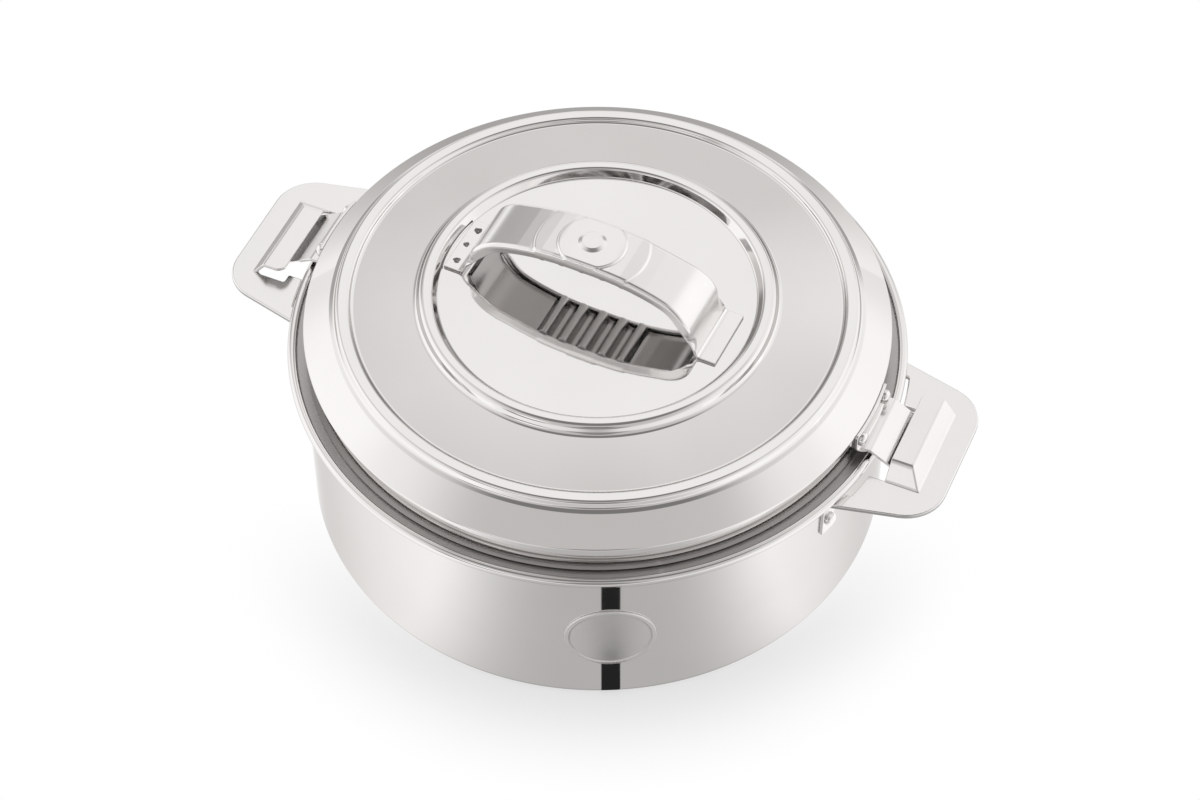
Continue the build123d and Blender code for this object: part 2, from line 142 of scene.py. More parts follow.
# %% Spinning a section round the axis
SPIN_STEPS = 240


def lump(points, faces, ways):
    """Points, faces and facing directions, with the faces put the same way out as the directions."""
    points, ways = np.array(points, float), np.array(ways, float)
    firsts = np.array([face[:3] for face in faces])
    a, b, c = (points[firsts[:, k]] for k in range(3))
    across = np.cross(b - a, c - a)
    if np.sum(across * ways[firsts].mean(axis=1)) < 0:
        faces = [tuple(face[::-1]) for face in faces]
    return points, faces, ways


def spin(section, steps=SPIN_STEPS):
    """Carries a section (distance from the axis, height) once round the Z axis."""
    points, ways, rings = [], [], []
    angles = [2 * math.pi * (k + 0.5) / steps for k in range(steps)]
    for (r, z), (out, up) in zip(*section):
        if r < TINY:
            rings.append([len(points)])
            points.append((0, 0, z))
            ways.append((0, 0, math.copysign(1, up)))
        else:
            rings.append(list(range(len(points), len(points) + steps)))
            points += [(r * math.cos(a), r * math.sin(a), z) for a in angles]
            ways += [(out * math.cos(a), out * math.sin(a), up) for a in angles]
    faces = []
    for ring, following in zip(rings, rings[1:] + rings[:1]):
        if len(ring) + len(following) == 2:
            continue
        for k in range(steps):
            corners = [ring[k % len(ring)], ring[(k + 1) % steps % len(ring)]]
            corners += [following[(k + 1) % steps % len(following)], following[k % len(following)]]
            faces.append(tuple(dict.fromkeys(corners)))
    return lump(points, faces, ways)


def turned_solid(corners, bends, steps=SPIN_STEPS, closed=False):
    """A full turned part, from a section drawn anticlockwise: from axis to axis, or closed for a ring."""
    points, lefts = pressed_line(corners, bends, closed)
    return spin((points, -lefts), steps)


# %% [markdown]
# Lumps become Blender objects here, and only here. A piece may be several lumps welded or riveted together,
# and many parts come twice, half a turn apart. The facing directions go in as custom normals.

# %% From lumps to pieces
def together(*lumps):
    points, faces, ways, start = [], [], [], 0
    for some_points, some_faces, some_ways in lumps:
        points.append(some_points)
        ways.append(some_ways)
        faces += [tuple(corner + start for corner in face) for face in some_faces]
        start += len(some_points)
    return np.vstack(points), faces, np.vstack(ways)


def half_turn(some_lump):
    across = np.array((-1, -1, 1))
    return some_lump[0] * across, some_lump[1], some_lump[2] * across


def make_piece(name, some_lump, body, slot, *nodes):
    """A smooth object from a lump, riding on a body, in the place of the CAD nodes that it stands for."""
    points, faces, ways = some_lump
    mesh = bpy.data.meshes.new(name)
    mesh.from_pydata((points * MM).tolist(), [], faces)
    mesh.shade_smooth()
    mesh.normals_split_custom_set_from_vertices(ways.tolist())
    piece = bpy.data.objects.new(name, mesh)
    bpy.context.scene.collection.objects.link(piece)
    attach(piece, body)
    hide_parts(*nodes)
    print(name, "has", len(points), "points and", len(faces), "faces")
    return piece


# %% [markdown]
# The outer shell is one drawn pan without a floor: a small flange under the rim, a straight wall and a foot
# that turns in. It is the mirror that shows the table all round.

# %% Outer shell
SHEET = 0.8
FOOT_RADIUS, WALL_RADIUS, FLANGE_RADIUS = 96, 109.5, 111.4
FLANGE_HEIGHT = 72.3
FOOT_BEND, FLANGE_BEND = 4, 1
shell_line = [
    (FOOT_RADIUS, 0), (WALL_RADIUS, 0), (WALL_RADIUS, FLANGE_HEIGHT), (FLANGE_RADIUS, FLANGE_HEIGHT),
]
shell = spin(sheet_section(shell_line, [FOOT_BEND, FLANGE_BEND], SHEET, 1))
shell_wall = make_piece("shell_wall", shell, "pot", "polished_steel", "outer_shell")

# %% [markdown]
# The bowl hangs in the shell by its rim. The rim is rolled into a bead, so it has no sharp edge, and inside
# it a ledge and a step carry the lid. The whole section is one line that goes up the inside, round the bead
# and back down the outside, which keeps the rolled edge free of seams.

# %% Inner bowl with its rolled rim
BOWL_RADIUS, BOWL_FLOOR = 101.0, 13.05
STEP_HEIGHT, LEDGE_HEIGHT, LEDGE_END = 72.4, 74.0, 111.6
BEAD_TOP, BEAD_LOW = 76.0, 72.6
BEAD_OUTER, BEAD_INNER = 115.0, 112.2
BOWL_OUTSIDE, BOWL_UNDER = BOWL_RADIUS + SHEET, BOWL_FLOOR - SHEET
LEDGE_UNDER, STEP_UNDER = 73.2, 71.6
bowl_line = [
    (0, BOWL_FLOOR), (BOWL_RADIUS, BOWL_FLOOR), (BOWL_RADIUS, STEP_HEIGHT), (104.4, STEP_HEIGHT),
    (105.0, LEDGE_HEIGHT), (LEDGE_END, LEDGE_HEIGHT), (LEDGE_END, BEAD_TOP), (BEAD_OUTER, BEAD_TOP),
    (BEAD_OUTER, BEAD_LOW), (BEAD_INNER, BEAD_LOW), (BEAD_INNER, LEDGE_UNDER), (105.55, LEDGE_UNDER),
    (104.95, STEP_UNDER), (BOWL_OUTSIDE, STEP_UNDER), (BOWL_OUTSIDE, BOWL_UNDER), (0, BOWL_UNDER),
]
bowl_bends = [15, 1.2, 0.5, 0.9, 0.3, 1.65, 1.68, 1.65, 0.25, 0.25, 0.2, 0.5, 0.4, 15.8]
bowl = spin(pressed_line(bowl_line, bowl_bends))
bowl_and_rim = make_piece("bowl_and_rim", bowl, "pot", "polished_steel", "inner_bowl")

# %% [markdown]
# Underneath, a pressed disc closes the foam space. It is raised in the middle so that the casserole stands on
# its foot ring, and a plastic plug snaps into the hole through which the foam was poured.

# %% Base plate and filling plug
BASE_MIDDLE, BASE_RIM = 3.05, 0.85
PLUG_STEPS = 64
base_line = [(6, BASE_MIDDLE), (60, BASE_MIDDLE), (64, BASE_RIM), (104.5, BASE_RIM)]
base = spin(sheet_section(base_line, [2, 2], SHEET, 1))
under_plate = make_piece("under_plate", base, "pot", "polished_steel", "base_plate")
plug_line = [(0, 1.65), (8.5, 1.65), (8.5, 3.0), (5.95, 3.0), (5.95, 3.9), (7, 3.9), (7, 5.1), (0, 5.1)]
plug = turned_solid(plug_line, [0.6, 0.3, 0.2, 0.2, 0.3, 0.7], PLUG_STEPS)
foam_plug = make_piece("foam_plug", plug, "pot", "plug_plastic", "filling_plug")

# %% [markdown]
# The lid cover is a single pressing. From the edge inwards there is an upright skirt, a sloped flank, a
# narrow bead, a broad ring that climbs gently, a second bead, and a flat recessed disc for the handle. Each
# crease is a small bend, and the bends are what draw the thin bright and dark lines on the lid.

# %% Lid cover
SKIRT_RADIUS, SKIRT_LOW, SKIRT_HIGH = 108.4, 74.5, 86.3
OUTER_BEAD_TOP, INNER_BEAD_TOP = 97.4, 101.4
DISC_RADIUS, DISC_HEIGHT = 58.6, 98.2
cover_line = [
    (104.6, SKIRT_LOW), (SKIRT_RADIUS, SKIRT_LOW), (SKIRT_RADIUS, SKIRT_HIGH), (98.4, 94.2), (96.6, 95.0),
    (95.6, OUTER_BEAD_TOP), (91.2, OUTER_BEAD_TOP), (90.2, 95.8), (66.5, 98.15), (64.8, INNER_BEAD_TOP),
    (60.7, INNER_BEAD_TOP), (DISC_RADIUS, DISC_HEIGHT), (0, DISC_HEIGHT),
]
cover_bends = [1, 1, 2] + [1.4] * 4 + [2.2, 2.4, 1.6, 1.0]
cover = spin(sheet_section(cover_line, cover_bends, SHEET, 1))
lid_top = make_piece("lid_top", cover, "lid", "polished_steel", "lid_cover")

# %% [markdown]
# Under the cover sits a shallow pan that plugs the bowl, with foam above it and a soft ring round it. They
# show only when the lid is off.

# %% Lid liner and sealing ring
LINER_RADIUS, LINER_HIGH, LINER_LOW = 99.6, 75.35, 67.35
SEAL_INNER, SEAL_OUTER, SEAL_LOW, SEAL_HIGH = 99.9, 103.9, 72.7, 75.05
SEAL_ROUND = 0.6
liner_line = [(107.5, LINER_HIGH), (LINER_RADIUS, LINER_HIGH), (LINER_RADIUS, LINER_LOW), (0, LINER_LOW)]
liner = spin(sheet_section(liner_line, [0.85, 5], SHEET, -1))
lid_pan = make_piece("lid_pan", liner, "lid", "polished_steel", "lid_liner")
seal_line = [(SEAL_INNER, SEAL_LOW), (SEAL_OUTER, SEAL_LOW), (SEAL_OUTER, SEAL_HIGH), (SEAL_INNER, SEAL_HIGH)]
seal = turned_solid(seal_line, [SEAL_ROUND] * 4, closed=True)
seal_ring = make_piece("seal_ring", seal, "seal", "silicone", "lid_seal")

# %% [markdown]
# Handles and latches are bent and pressed from thicker sheet, and no lathe can make them. They are grids of
# points that follow the outer face. These helpers find which way a grid faces, put the back face behind it
# and close the rim with a small rounding. A solidify and a bevel modifier would come close, but they round
# the corners of a curved rim unevenly.

# %% A closed sheet from a grid
RIM_STEPS = 3


def facing(grid):
    """Unit directions square to a grid of points (rows, columns, xyz)."""
    ways = []
    for axis in (0, 1):
        run = np.diff(grid, axis=axis)
        run = run / np.maximum(np.linalg.norm(run, axis=2, keepdims=True), TINY)
        first, last = np.take(run, [0], axis), np.take(run, [-1], axis)
        ways.append(np.concatenate([first, run], axis) + np.concatenate([run, last], axis))
    square = np.cross(ways[0], ways[1])
    return square / np.maximum(np.linalg.norm(square, axis=2, keepdims=True), TINY)


def closed_sheet(face, back, edge):
    """A closed lump between a face grid and a back grid, with the rim rounded by the edge radius."""
    rows, cols = face.shape[:2]
    face_ways, back_ways = facing(face), facing(back)
    if np.sum(face_ways * (face - back)) < 0:
        face_ways = -face_ways
    if np.sum(back_ways * (back - face)) < 0:
        back_ways = -back_ways
    loop = [(0, c) for c in range(cols)] + [(r, cols - 1) for r in range(1, rows)]
    loop += [(rows - 1, c) for c in range(cols - 2, -1, -1)] + [(r, 0) for r in range(rows - 2, 0, -1)]
    r, c = np.array(loop).T
    inner = face[np.clip(r, 1, rows - 2), np.clip(c, 1, cols - 2)]
    rim, rim_back, up, down = face[r, c], back[r, c], face_ways[r, c], back_ways[r, c]
    rim_way = np.roll(rim, -1, axis=0) - np.roll(rim, 1, axis=0)
    out = np.cross(rim_way, up)
    out = out / np.linalg.norm(out, axis=1, keepdims=True)
    out = out * np.sign(np.sum(out * (rim - inner), axis=1, keepdims=True))
    points = [face.reshape(-1, 3), back.reshape(-1, 3)]
    ways = [face_ways.reshape(-1, 3), back_ways.reshape(-1, 3)]
    quarter = [math.pi / 2 * k / RIM_STEPS for k in range(1, RIM_STEPS + 1)]
    for start, way, angles in ((rim, up, quarter), (rim_back, down, quarter[::-1])):
        for angle in angles:
            tilt = way * math.cos(angle) + out * math.sin(angle)
            points.append(start - way * edge + tilt * edge)
            ways.append(tilt)
    faces = []
    for offset in (0, rows * cols):
        for i in range(rows - 1):
            for j in range(cols - 1):
                a = offset + i * cols + j
                quad = (a, a + 1, a + cols + 1, a + cols)
                faces.append(quad if offset == 0 else quad[::-1])
    size = len(loop)
    rounded = range(2 * rows * cols, 2 * rows * cols + 2 * RIM_STEPS * size, size)
    strips = [list(r * cols + c)] + [list(range(start, start + size)) for start in rounded]
    strips.append(list(rows * cols + r * cols + c))
    for upper, lower in zip(strips, strips[1:]):
        for k in range(size):
            n = (k + 1) % size
            faces.append((upper[n], upper[k], lower[k], lower[n]))
    return lump(np.vstack(points), faces, np.vstack(ways))


def sheet_behind(face, thickness, edge, outward):
    """A closed sheet whose back lies one thickness behind a face that looks more or less outward."""
    ways = facing(face)
    if ways[len(ways) // 2, ways.shape[1] // 2] @ np.array(outward) < 0:
        ways = -ways
    return closed_sheet(face, face - ways * thickness, edge)


def evenly(points, step):
    """The same line with points no further apart than the step."""
    made = [points[0]]
    for start, end in zip(points, points[1:]):
        count = max(1, math.ceil(np.linalg.norm(end - start) / step))
        made += [start + (end - start) * k / count for k in range(1, count + 1)]
    return np.array(made)


# %% [markdown]
# A side handle is cut and pressed from one strip. The flat plate comes first: a blank with two big round
# corners, hollowed on the pot's side, with a slot for the latch and a window under the hood. It is drawn as
# one outline, and the plate is that outline at two heights with the edge rounded between them.

# %% Handle plate
PLATE_TOP, PLATE_BOTTOM = 71.6, 69.8
PLATE_EDGE = 0.7
PLATE_ROOT, PLATE_TIP = 103.55, 143
ROOT_HALF, TIP_HALF = 38.2, 29
ROOT_CUT, EAR_CUT = 35.9, 35.0
EAR_FACE, EAR_INNER = 109.55, 30.2
HOLLOW_RADIUS = 116
SLOT_SIDE = 16.3
HOOD_INNER, HOOD_MOUTH = 120.8, 20.2
WINDOW_OUTER, WINDOW_END = 132.5, -18.7
TIP_ROUND, WINDOW_ROUND, SMALL_ROUND = 15.8, 2.5, 0.8


def on_circle(radius, start_y, end_y, count):
    return [(math.sqrt(radius**2 - y**2), y) for y in np.linspace(start_y, end_y, count)]


def thick_plate(corners, bends, low, high, edge):
    """A flat plate between two heights, with its outline drawn anticlockwise and its edges rounded."""
    outline, lefts = pressed_line(corners, bends, closed=True)
    inset = outline + lefts * edge
    points, ways, size = [], [], len(outline)
    angles = [math.pi / 2 * k / RIM_STEPS for k in range(RIM_STEPS, -1, -1)]
    for height, sign, turns in ((high, 1, angles), (low, -1, angles[::-1])):
        for angle in turns:
            level = height - sign * edge * (1 - math.sin(angle))
            flat = inset - lefts * edge * math.cos(angle)
            points += [(x, y, level) for x, y in flat]
            ways += [(-a * math.cos(angle), -b * math.cos(angle), sign * math.sin(angle)) for a, b in lefts]
    count = 2 * len(angles)
    faces = [tuple(range(size)), tuple(range(count * size - 1, (count - 1) * size - 1, -1))]
    for row in range(count - 1):
        for k in range(size):
            n = (k + 1) % size
            faces.append((row * size + n, row * size + k, (row + 1) * size + k, (row + 1) * size + n))
    return lump(points, faces, ways)


plate_outside = [(PLATE_ROOT, -ROOT_HALF), (PLATE_TIP, -TIP_HALF), (PLATE_TIP, TIP_HALF)]
plate_outside += [(PLATE_ROOT, ROOT_HALF), (PLATE_ROOT, ROOT_CUT)]
hollow = on_circle(EAR_FACE, EAR_CUT, EAR_INNER, 4) + on_circle(HOLLOW_RADIUS, EAR_INNER, SLOT_SIDE, 9)
window = [(HOOD_INNER, SLOT_SIDE), (HOOD_INNER, HOOD_MOUTH)]
window += [(WINDOW_OUTER, HOOD_MOUTH), (WINDOW_OUTER, WINDOW_END)]
way_back = on_circle(HOLLOW_RADIUS, WINDOW_END, -EAR_INNER, 8)
way_back += on_circle(EAR_FACE, -EAR_INNER, -EAR_CUT, 4) + [(PLATE_ROOT, -ROOT_CUT)]
plate_outline = plate_outside + hollow + window + way_back
plate_bends = [SMALL_ROUND, TIP_ROUND, TIP_ROUND, SMALL_ROUND, SMALL_ROUND] + [SMALL_ROUND] * len(hollow)
plate_bends += [SMALL_ROUND, SMALL_ROUND, WINDOW_ROUND, WINDOW_ROUND] + [SMALL_ROUND] * len(way_back)
handle_plate = thick_plate(plate_outline, plate_bends, PLATE_BOTTOM, PLATE_TOP, PLATE_EDGE)
print("handle plate outline:", len(plate_outline), "corners")

# %% [markdown]
# The hood is pressed up out of the plate: a flat roof, one long slope outside, one slope that closes its end,
# and two open sides where the latch turns in. Three planes meet in soft folds, so its height is the lowest of
# the three, with the creases rounded. The foot of the slopes runs out into the plate, as a pressing does.

# %% Hood over the latch
HOOD_TOP = 77.6
HOOD_SHEET, HOOD_EDGE = 1.2, 0.3
HOOD_OUTER, HOOD_END = 133.8, -19.3
HOOD_SLOPE, HOOD_END_SLOPE = 4.6, 5.8
MOUTH_ROUND, FOLD_ROUND, FOOT_ROUND = 3.5, 0.9, 0.8
FOOT_RUN, END_RUN, FOOT_SINK = 1.6, 0.6, 0.15
HOOD_ROWS, HOOD_COLUMNS = 42, 112


def soft_lowest(a, b, rounding):
    near = np.maximum(rounding - np.abs(a - b), 0) / rounding
    return np.minimum(a, b) - near**2 * rounding / 4


def hood_height(x, y):
    outer = PLATE_TOP + (HOOD_OUTER - x) * (HOOD_TOP - PLATE_TOP) / HOOD_SLOPE
    end = PLATE_TOP + (y - HOOD_END) * (HOOD_TOP - PLATE_TOP) / HOOD_END_SLOPE
    raised = soft_lowest(soft_lowest(outer, end, FOLD_ROUND), np.full_like(x, HOOD_TOP), FOLD_ROUND)
    lying = np.full_like(x, PLATE_TOP - FOOT_SINK)
    return -soft_lowest(-raised, -lying, FOOT_ROUND)


hood_x = np.linspace(HOOD_INNER + HOOD_EDGE, HOOD_OUTER + FOOT_RUN, HOOD_ROWS)
inside = np.clip(MOUTH_ROUND - hood_x + HOOD_INNER, 0, MOUTH_ROUND)
mouth = HOOD_MOUTH - MOUTH_ROUND + np.sqrt(MOUTH_ROUND**2 - inside**2)
share = np.linspace(0, 1, HOOD_COLUMNS)
grid_x = np.repeat(hood_x[:, None], len(share), axis=1)
grid_y = (HOOD_END - END_RUN) + (mouth[:, None] - HOOD_END + END_RUN) * share[None, :]
hood_face = np.stack([grid_x, grid_y, hood_height(grid_x, grid_y)], axis=2)
hood = sheet_behind(hood_face, HOOD_SHEET, HOOD_EDGE, (0, 0, 1))
print("hood top at", round(float(hood_face[:, :, 2].max()), 2), "mm")

# %% [markdown]
# Two ears at the root of the plate are bent down against the wall, and the rivets go through them. An ear
# follows the curve of the wall, so its points are placed by their distance from the axis.

# %% Ears
EAR_SHEET, EAR_EDGE = 1.2, 0.3
EAR_BOTTOM, EAR_OUTER, EAR_START = 52.1, 36.4, 113.2
EAR_FRONT_TOP, EAR_BACK_TOP = 70.0, 71.2
EAR_FRONT_BEND, EAR_BACK_BEND = 1.5, 2.7
EAR_ROWS, EAR_COLUMNS = 41, 9


def line_runs(line):
    """Distance along a line of points from its start."""
    return np.concatenate([[0], np.cumsum(np.linalg.norm(np.diff(line, axis=0), axis=1))])


def along_line(points, shares):
    """Points at the given shares of a line's length."""
    runs = line_runs(points)
    return np.stack([np.interp(shares * runs[-1], runs, points[:, k]) for k in range(points.shape[1])], axis=1)


def wrapped(path, sideways):
    """Grid of a path (distance from the axis, height) carried sideways round the wall."""
    return np.array([[(math.sqrt(r**2 - y**2), y, z) for y in sideways] for r, z in path])


def ear_grid(radius, top, bend, side):
    path, _ = pressed_line([(EAR_START, top), (radius, top), (radius, EAR_BOTTOM)], [bend])
    sideways = side * np.linspace(EAR_INNER + EAR_EDGE, EAR_OUTER - EAR_EDGE, EAR_COLUMNS)
    return wrapped(along_line(path, np.linspace(0, 1, EAR_ROWS)), sideways)


def ear(side):
    front = ear_grid(EAR_FACE + EAR_SHEET, EAR_FRONT_TOP, EAR_FRONT_BEND, side)
    back = ear_grid(EAR_FACE, EAR_BACK_TOP, EAR_BACK_BEND, side)
    return closed_sheet(front, back, EAR_EDGE)


side_handle = together(handle_plate, hood, ear(1), ear(-1))
right_handle = make_piece("right_handle", side_handle, "pot", "satin_steel", "right_side_handle")
left_handle = make_piece("left_handle", half_turn(side_handle), "pot", "satin_steel", "left_side_handle")

# %% [markdown]
# A latch is a strip bent four times: a flange riveted to the skirt, a short shelf, a slope down over the rim
# and a flat tongue that turns in under the hood. The flange takes the curve of the skirt, and within a short
# run the rest goes straight.

# %% Latches
LATCH_SHEET, LATCH_EDGE = 1.2, 0.35
SKIRT_FACE = 109.65
LATCH_TOP, SHELF_HEIGHT, TONGUE_HEIGHT = 85.9, 79.5, 73.5
FLANGE_LOW, TONGUE_LOW, LATCH_HIGH = -16.2, -14.3, 12.2
FLAT_RUN = 2
LATCH_STEP, LATCH_COLUMNS = 0.6, 25
latch_corners = [(0, LATCH_TOP), (0, SHELF_HEIGHT), (113 - SKIRT_FACE, SHELF_HEIGHT)]
latch_corners += [(120.4 - SKIRT_FACE, 75.1), (123.0 - SKIRT_FACE, TONGUE_HEIGHT)]
latch_corners += [(127.9 - SKIRT_FACE, TONGUE_HEIGHT)]
latch_path = evenly(pressed_line(latch_corners, [0.9, 1.5, 2, 2])[0], LATCH_STEP)


def latch_row(out, z):
    """Points across the latch at one place of its path, curved with the skirt or straight."""
    flat = min(1.0, max(0.0, out / FLAT_RUN))
    low = FLANGE_LOW + (TONGUE_LOW - FLANGE_LOW) * flat
    row = []
    for share in np.linspace(0, 1, LATCH_COLUMNS):
        y = low + LATCH_EDGE + (LATCH_HIGH - low - 2 * LATCH_EDGE) * share
        sag = (SKIRT_FACE - math.sqrt(SKIRT_FACE**2 - y**2)) * (1 - flat)
        row.append((SKIRT_FACE + out - sag, y, z))
    return row


latch_face = np.array([latch_row(out, z) for out, z in latch_path])
latch = sheet_behind(latch_face, LATCH_SHEET, LATCH_EDGE, (1, 0, 1))
right_tongue = make_piece("right_tongue", latch, "lid", "satin_steel", "right_latch")
left_tongue = make_piece("left_tongue", half_turn(latch), "lid", "satin_steel", "left_latch")

# %% [markdown]
# Rivets are turned parts: a domed head, a shank through the sheets and a tail spread inside. Spinning one
# section and standing it on the wall gives all eight.

# %% Rivets
RIVET_STEPS = 48
HEAD_HEIGHT, TAIL_HEIGHT, TAIL_SPREAD = 2.2, 1.2, 1.0
EAR_RIVET_SIDES, EAR_RIVET_HEIGHT = (-33.3, 33.3), 58.9
LATCH_RIVET_SIDES, LATCH_RIVET_HEIGHT = (-12.8, 8.8), 82.8


def rivet(shank, head, grip):
    tail, end = shank + TAIL_SPREAD, -grip - TAIL_HEIGHT
    corners = [(0, end), (tail, end), (tail, -grip), (shank, -grip), (shank, 0), (head, 0)]
    corners += [(head, HEAD_HEIGHT), (0, HEAD_HEIGHT)]
    return turned_solid(corners, [0.4, 0.2, 0.1, 0.1, 0.2, 1.95], RIVET_STEPS)


def standing_out(some_lump, radius, sideways, height):
    """Stands a spun lump on the curved wall, with its axis pointing straight out."""
    angle = math.asin(sideways / radius)
    out = np.array((math.cos(angle), math.sin(angle), 0))
    frame_rows = np.array((np.cross((0, 0, 1), out), (0, 0, 1), out))
    points = some_lump[0] @ frame_rows + out * radius + np.array((0, 0, height))
    return points, some_lump[1], some_lump[2] @ frame_rows


def rivet_pair(one, radius, sides, height):
    return together(*(standing_out(one, radius, sideways, height) for sideways in sides))


ear_pair = rivet_pair(rivet(1.6, 2.7, 2.1), EAR_FACE + EAR_SHEET, EAR_RIVET_SIDES, EAR_RIVET_HEIGHT)
latch_pair = rivet_pair(rivet(1.8, 2.75, 2.1), SKIRT_FACE, LATCH_RIVET_SIDES, LATCH_RIVET_HEIGHT)
ear_rivets = [
    make_piece("right_ear_rivets", ear_pair, "pot", "satin_steel", "right_handle_rivets"),
    make_piece("left_ear_rivets", half_turn(ear_pair), "pot", "satin_steel", "left_handle_rivets"),
]
latch_rivets = [
    make_piece("right_tongue_rivets", latch_pair, "lid", "satin_steel", "right_latch_rivets"),
    make_piece("left_tongue_rivets", half_turn(latch_pair), "lid", "satin_steel", "left_latch_rivets"),
]

# %% [markdown]
# The strap starts as a flat blank. Its ends stay flat as tabs, and along the arch its edges are turned down.
# The mesh does just that: across the strap, each row knows how far its edge is folded, from nothing at the
# tabs to a little past upright on the arch. Two low round steps surround the middle, where the button sits.
# The pairs called runs give the distances from the strap's end at which a change starts and is done.

# %% Strap handle: the arch
STRAP_SEAT = 98.25
STRAP_SHEET, STRAP_EDGE, STRAP_STEP = 1.0, 0.3, 0.35
STRAP_TURN, STRAP_SHIFT = math.radians(-2), -2.0
TAB_END, FOOT = (-54.5, STRAP_SEAT), (-47, STRAP_SEAT)
SHOULDER, CREST = (-41.5, STRAP_SEAT + 17.5), (-18, STRAP_SEAT + 25)
TAB_BEND, SHOULDER_BEND, CREST_BEND = 3, 17, 80
ARCH_STEP = math.radians(4)
STRAP_HALF, TAB_HALF = 10.5, 12.5
FOLD_LENGTH, FULL_FOLD = 2.6, math.radians(104)
FLANGE_SHORT, FLANGE_LONG = 0.2, 2.85
WIDTH_RUN, FLANGE_RUN, FOLD_RUN = (8.0, 38.0), (8.5, 22.5), (8.0, 17.5)
WEB_COUNT, FOLD_COUNT, FLANGE_COUNT = 27, 9, 7
TERRACES = ((21.0, 0.55), (12.4, 0.55))
TERRACE_RUN, TERRACE_FADE = 0.8, (0.8, 2.8)


def both_halves(half):
    return half + [(-x, z) for x, z in half[::-1]]


def line_ways(line):
    """Unit directions along a line of points."""
    ways = np.gradient(line, axis=0)
    return ways / np.linalg.norm(ways, axis=1, keepdims=True)


def smooth_share(value, low, high):
    share = np.clip((value - low) / (high - low), 0, 1)
    return share * share * (3 - 2 * share)


def across_strap(half_width, folded, flange):
    """Sideways place and drop of points across the strap, from one edge to the other."""
    arc = FOLD_LENGTH * (math.sin(folded) / folded if folded > TINY else 1)
    web = half_width - arc - flange * math.cos(folded)
    marks = [np.linspace(0, web, WEB_COUNT), web + FOLD_LENGTH * np.linspace(0, 1, FOLD_COUNT)[1:]]
    marks.append(web + FOLD_LENGTH + flange * np.linspace(0, 1, FLANGE_COUNT)[1:])
    developed = np.concatenate(marks)
    angle = folded * np.clip(((developed[1:] + developed[:-1]) / 2 - web) / FOLD_LENGTH, 0, 1)
    out = np.concatenate([[0], np.cumsum(np.diff(developed) * np.cos(angle))])
    drop = np.concatenate([[0], np.cumsum(np.diff(developed) * np.sin(angle))])
    return np.concatenate([-out[:0:-1], out]), np.concatenate([drop[:0:-1], drop])


strap_line = both_halves([TAB_END, FOOT, SHOULDER, CREST])
strap_bends = [TAB_BEND, SHOULDER_BEND, CREST_BEND, CREST_BEND, SHOULDER_BEND, TAB_BEND]
strap_path, strap_lefts = pressed_line(strap_line, strap_bends, step=ARCH_STEP)
strap_top = evenly(strap_path + strap_lefts * STRAP_SHEET, STRAP_STEP)
strap_runs = line_runs(strap_top)
strap_rows = []
for (x, z), (way_x, way_z), run in zip(strap_top, line_ways(strap_top), strap_runs):
    from_end = min(run, strap_runs[-1] - run)
    half_width = TAB_HALF + (STRAP_HALF - TAB_HALF) * smooth_share(from_end, *WIDTH_RUN)
    flange = FLANGE_SHORT + (FLANGE_LONG - FLANGE_SHORT) * smooth_share(from_end, *FLANGE_RUN)
    sideways, fall = across_strap(half_width, FULL_FOLD * smooth_share(from_end, *FOLD_RUN), flange)
    far = np.hypot(x, sideways)
    lift = np.zeros_like(far)
    for radius, height in TERRACES:
        lift += height * (1 - smooth_share(far, radius - TERRACE_RUN / 2, radius + TERRACE_RUN / 2))
    shift = lift * (1 - smooth_share(fall, *TERRACE_FADE)) - fall
    strap_rows.append(np.stack([x - way_z * shift, sideways, z + way_x * shift], axis=1))
strap_sheet = sheet_behind(np.array(strap_rows), STRAP_SHEET, STRAP_EDGE, (0, 0, 1))
print("strap is", round(float(strap_runs[-1]), 1), "mm long from tab to tab")

# %% [markdown]
# The round button in the middle is a small turned disc with a sloped side. On one tab the marks of three spot
# welds show as little craters, each a low ring with a hollow. A mark is never quite round, so its outline
# wobbles a little, differently at each place.

# %% Strap handle: button and weld marks
MIDDLE_RAISED = 1.0
CROWN = CREST[1] + STRAP_SHEET + MIDDLE_RAISED
BUTTON_FOOT, BUTTON_FACE, BUTTON_SINK = 5.3, 3.8, 0.6
BUTTON_STEPS, MARK_STEPS = 96, 28
TAB_TOP = STRAP_SEAT + STRAP_SHEET
MARK_SINK = 0.3
button_line = [(0, CROWN - BUTTON_SINK), (BUTTON_FOOT, CROWN - BUTTON_SINK), (BUTTON_FOOT, CROWN + 0.1)]
button_line += [(BUTTON_FACE, CROWN + 0.9), (0, CROWN + 0.95)]
button = turned_solid(button_line, [0.1, 0.35, 0.5], BUTTON_STEPS)


def weld_mark(x, y, size):
    corners = [(0, TAB_TOP - MARK_SINK), (size, TAB_TOP - MARK_SINK), (size, TAB_TOP + 0.04)]
    corners += [(size * 0.72, TAB_TOP + 0.28), (size * 0.4, TAB_TOP + 0.02), (0, TAB_TOP + 0.03)]
    points, faces, ways = turned_solid(corners, [0.1, 0.12, 0.15, 0.12], MARK_STEPS)
    angle = np.arctan2(points[:, 1], points[:, 0])
    wobble = (1 + 0.12 * np.sin(3 * angle + x) + 0.07 * np.sin(5 * angle + y))[:, None]
    return points * np.where(np.arange(3) < 2, wobble, 1) + np.array((x, y, 0)), faces, ways


weld_marks = [weld_mark(-51.6, -8.3, 1.35), weld_mark(-52.0, 0.2, 1.15), weld_mark(-51.2, 8.2, 1.45)]


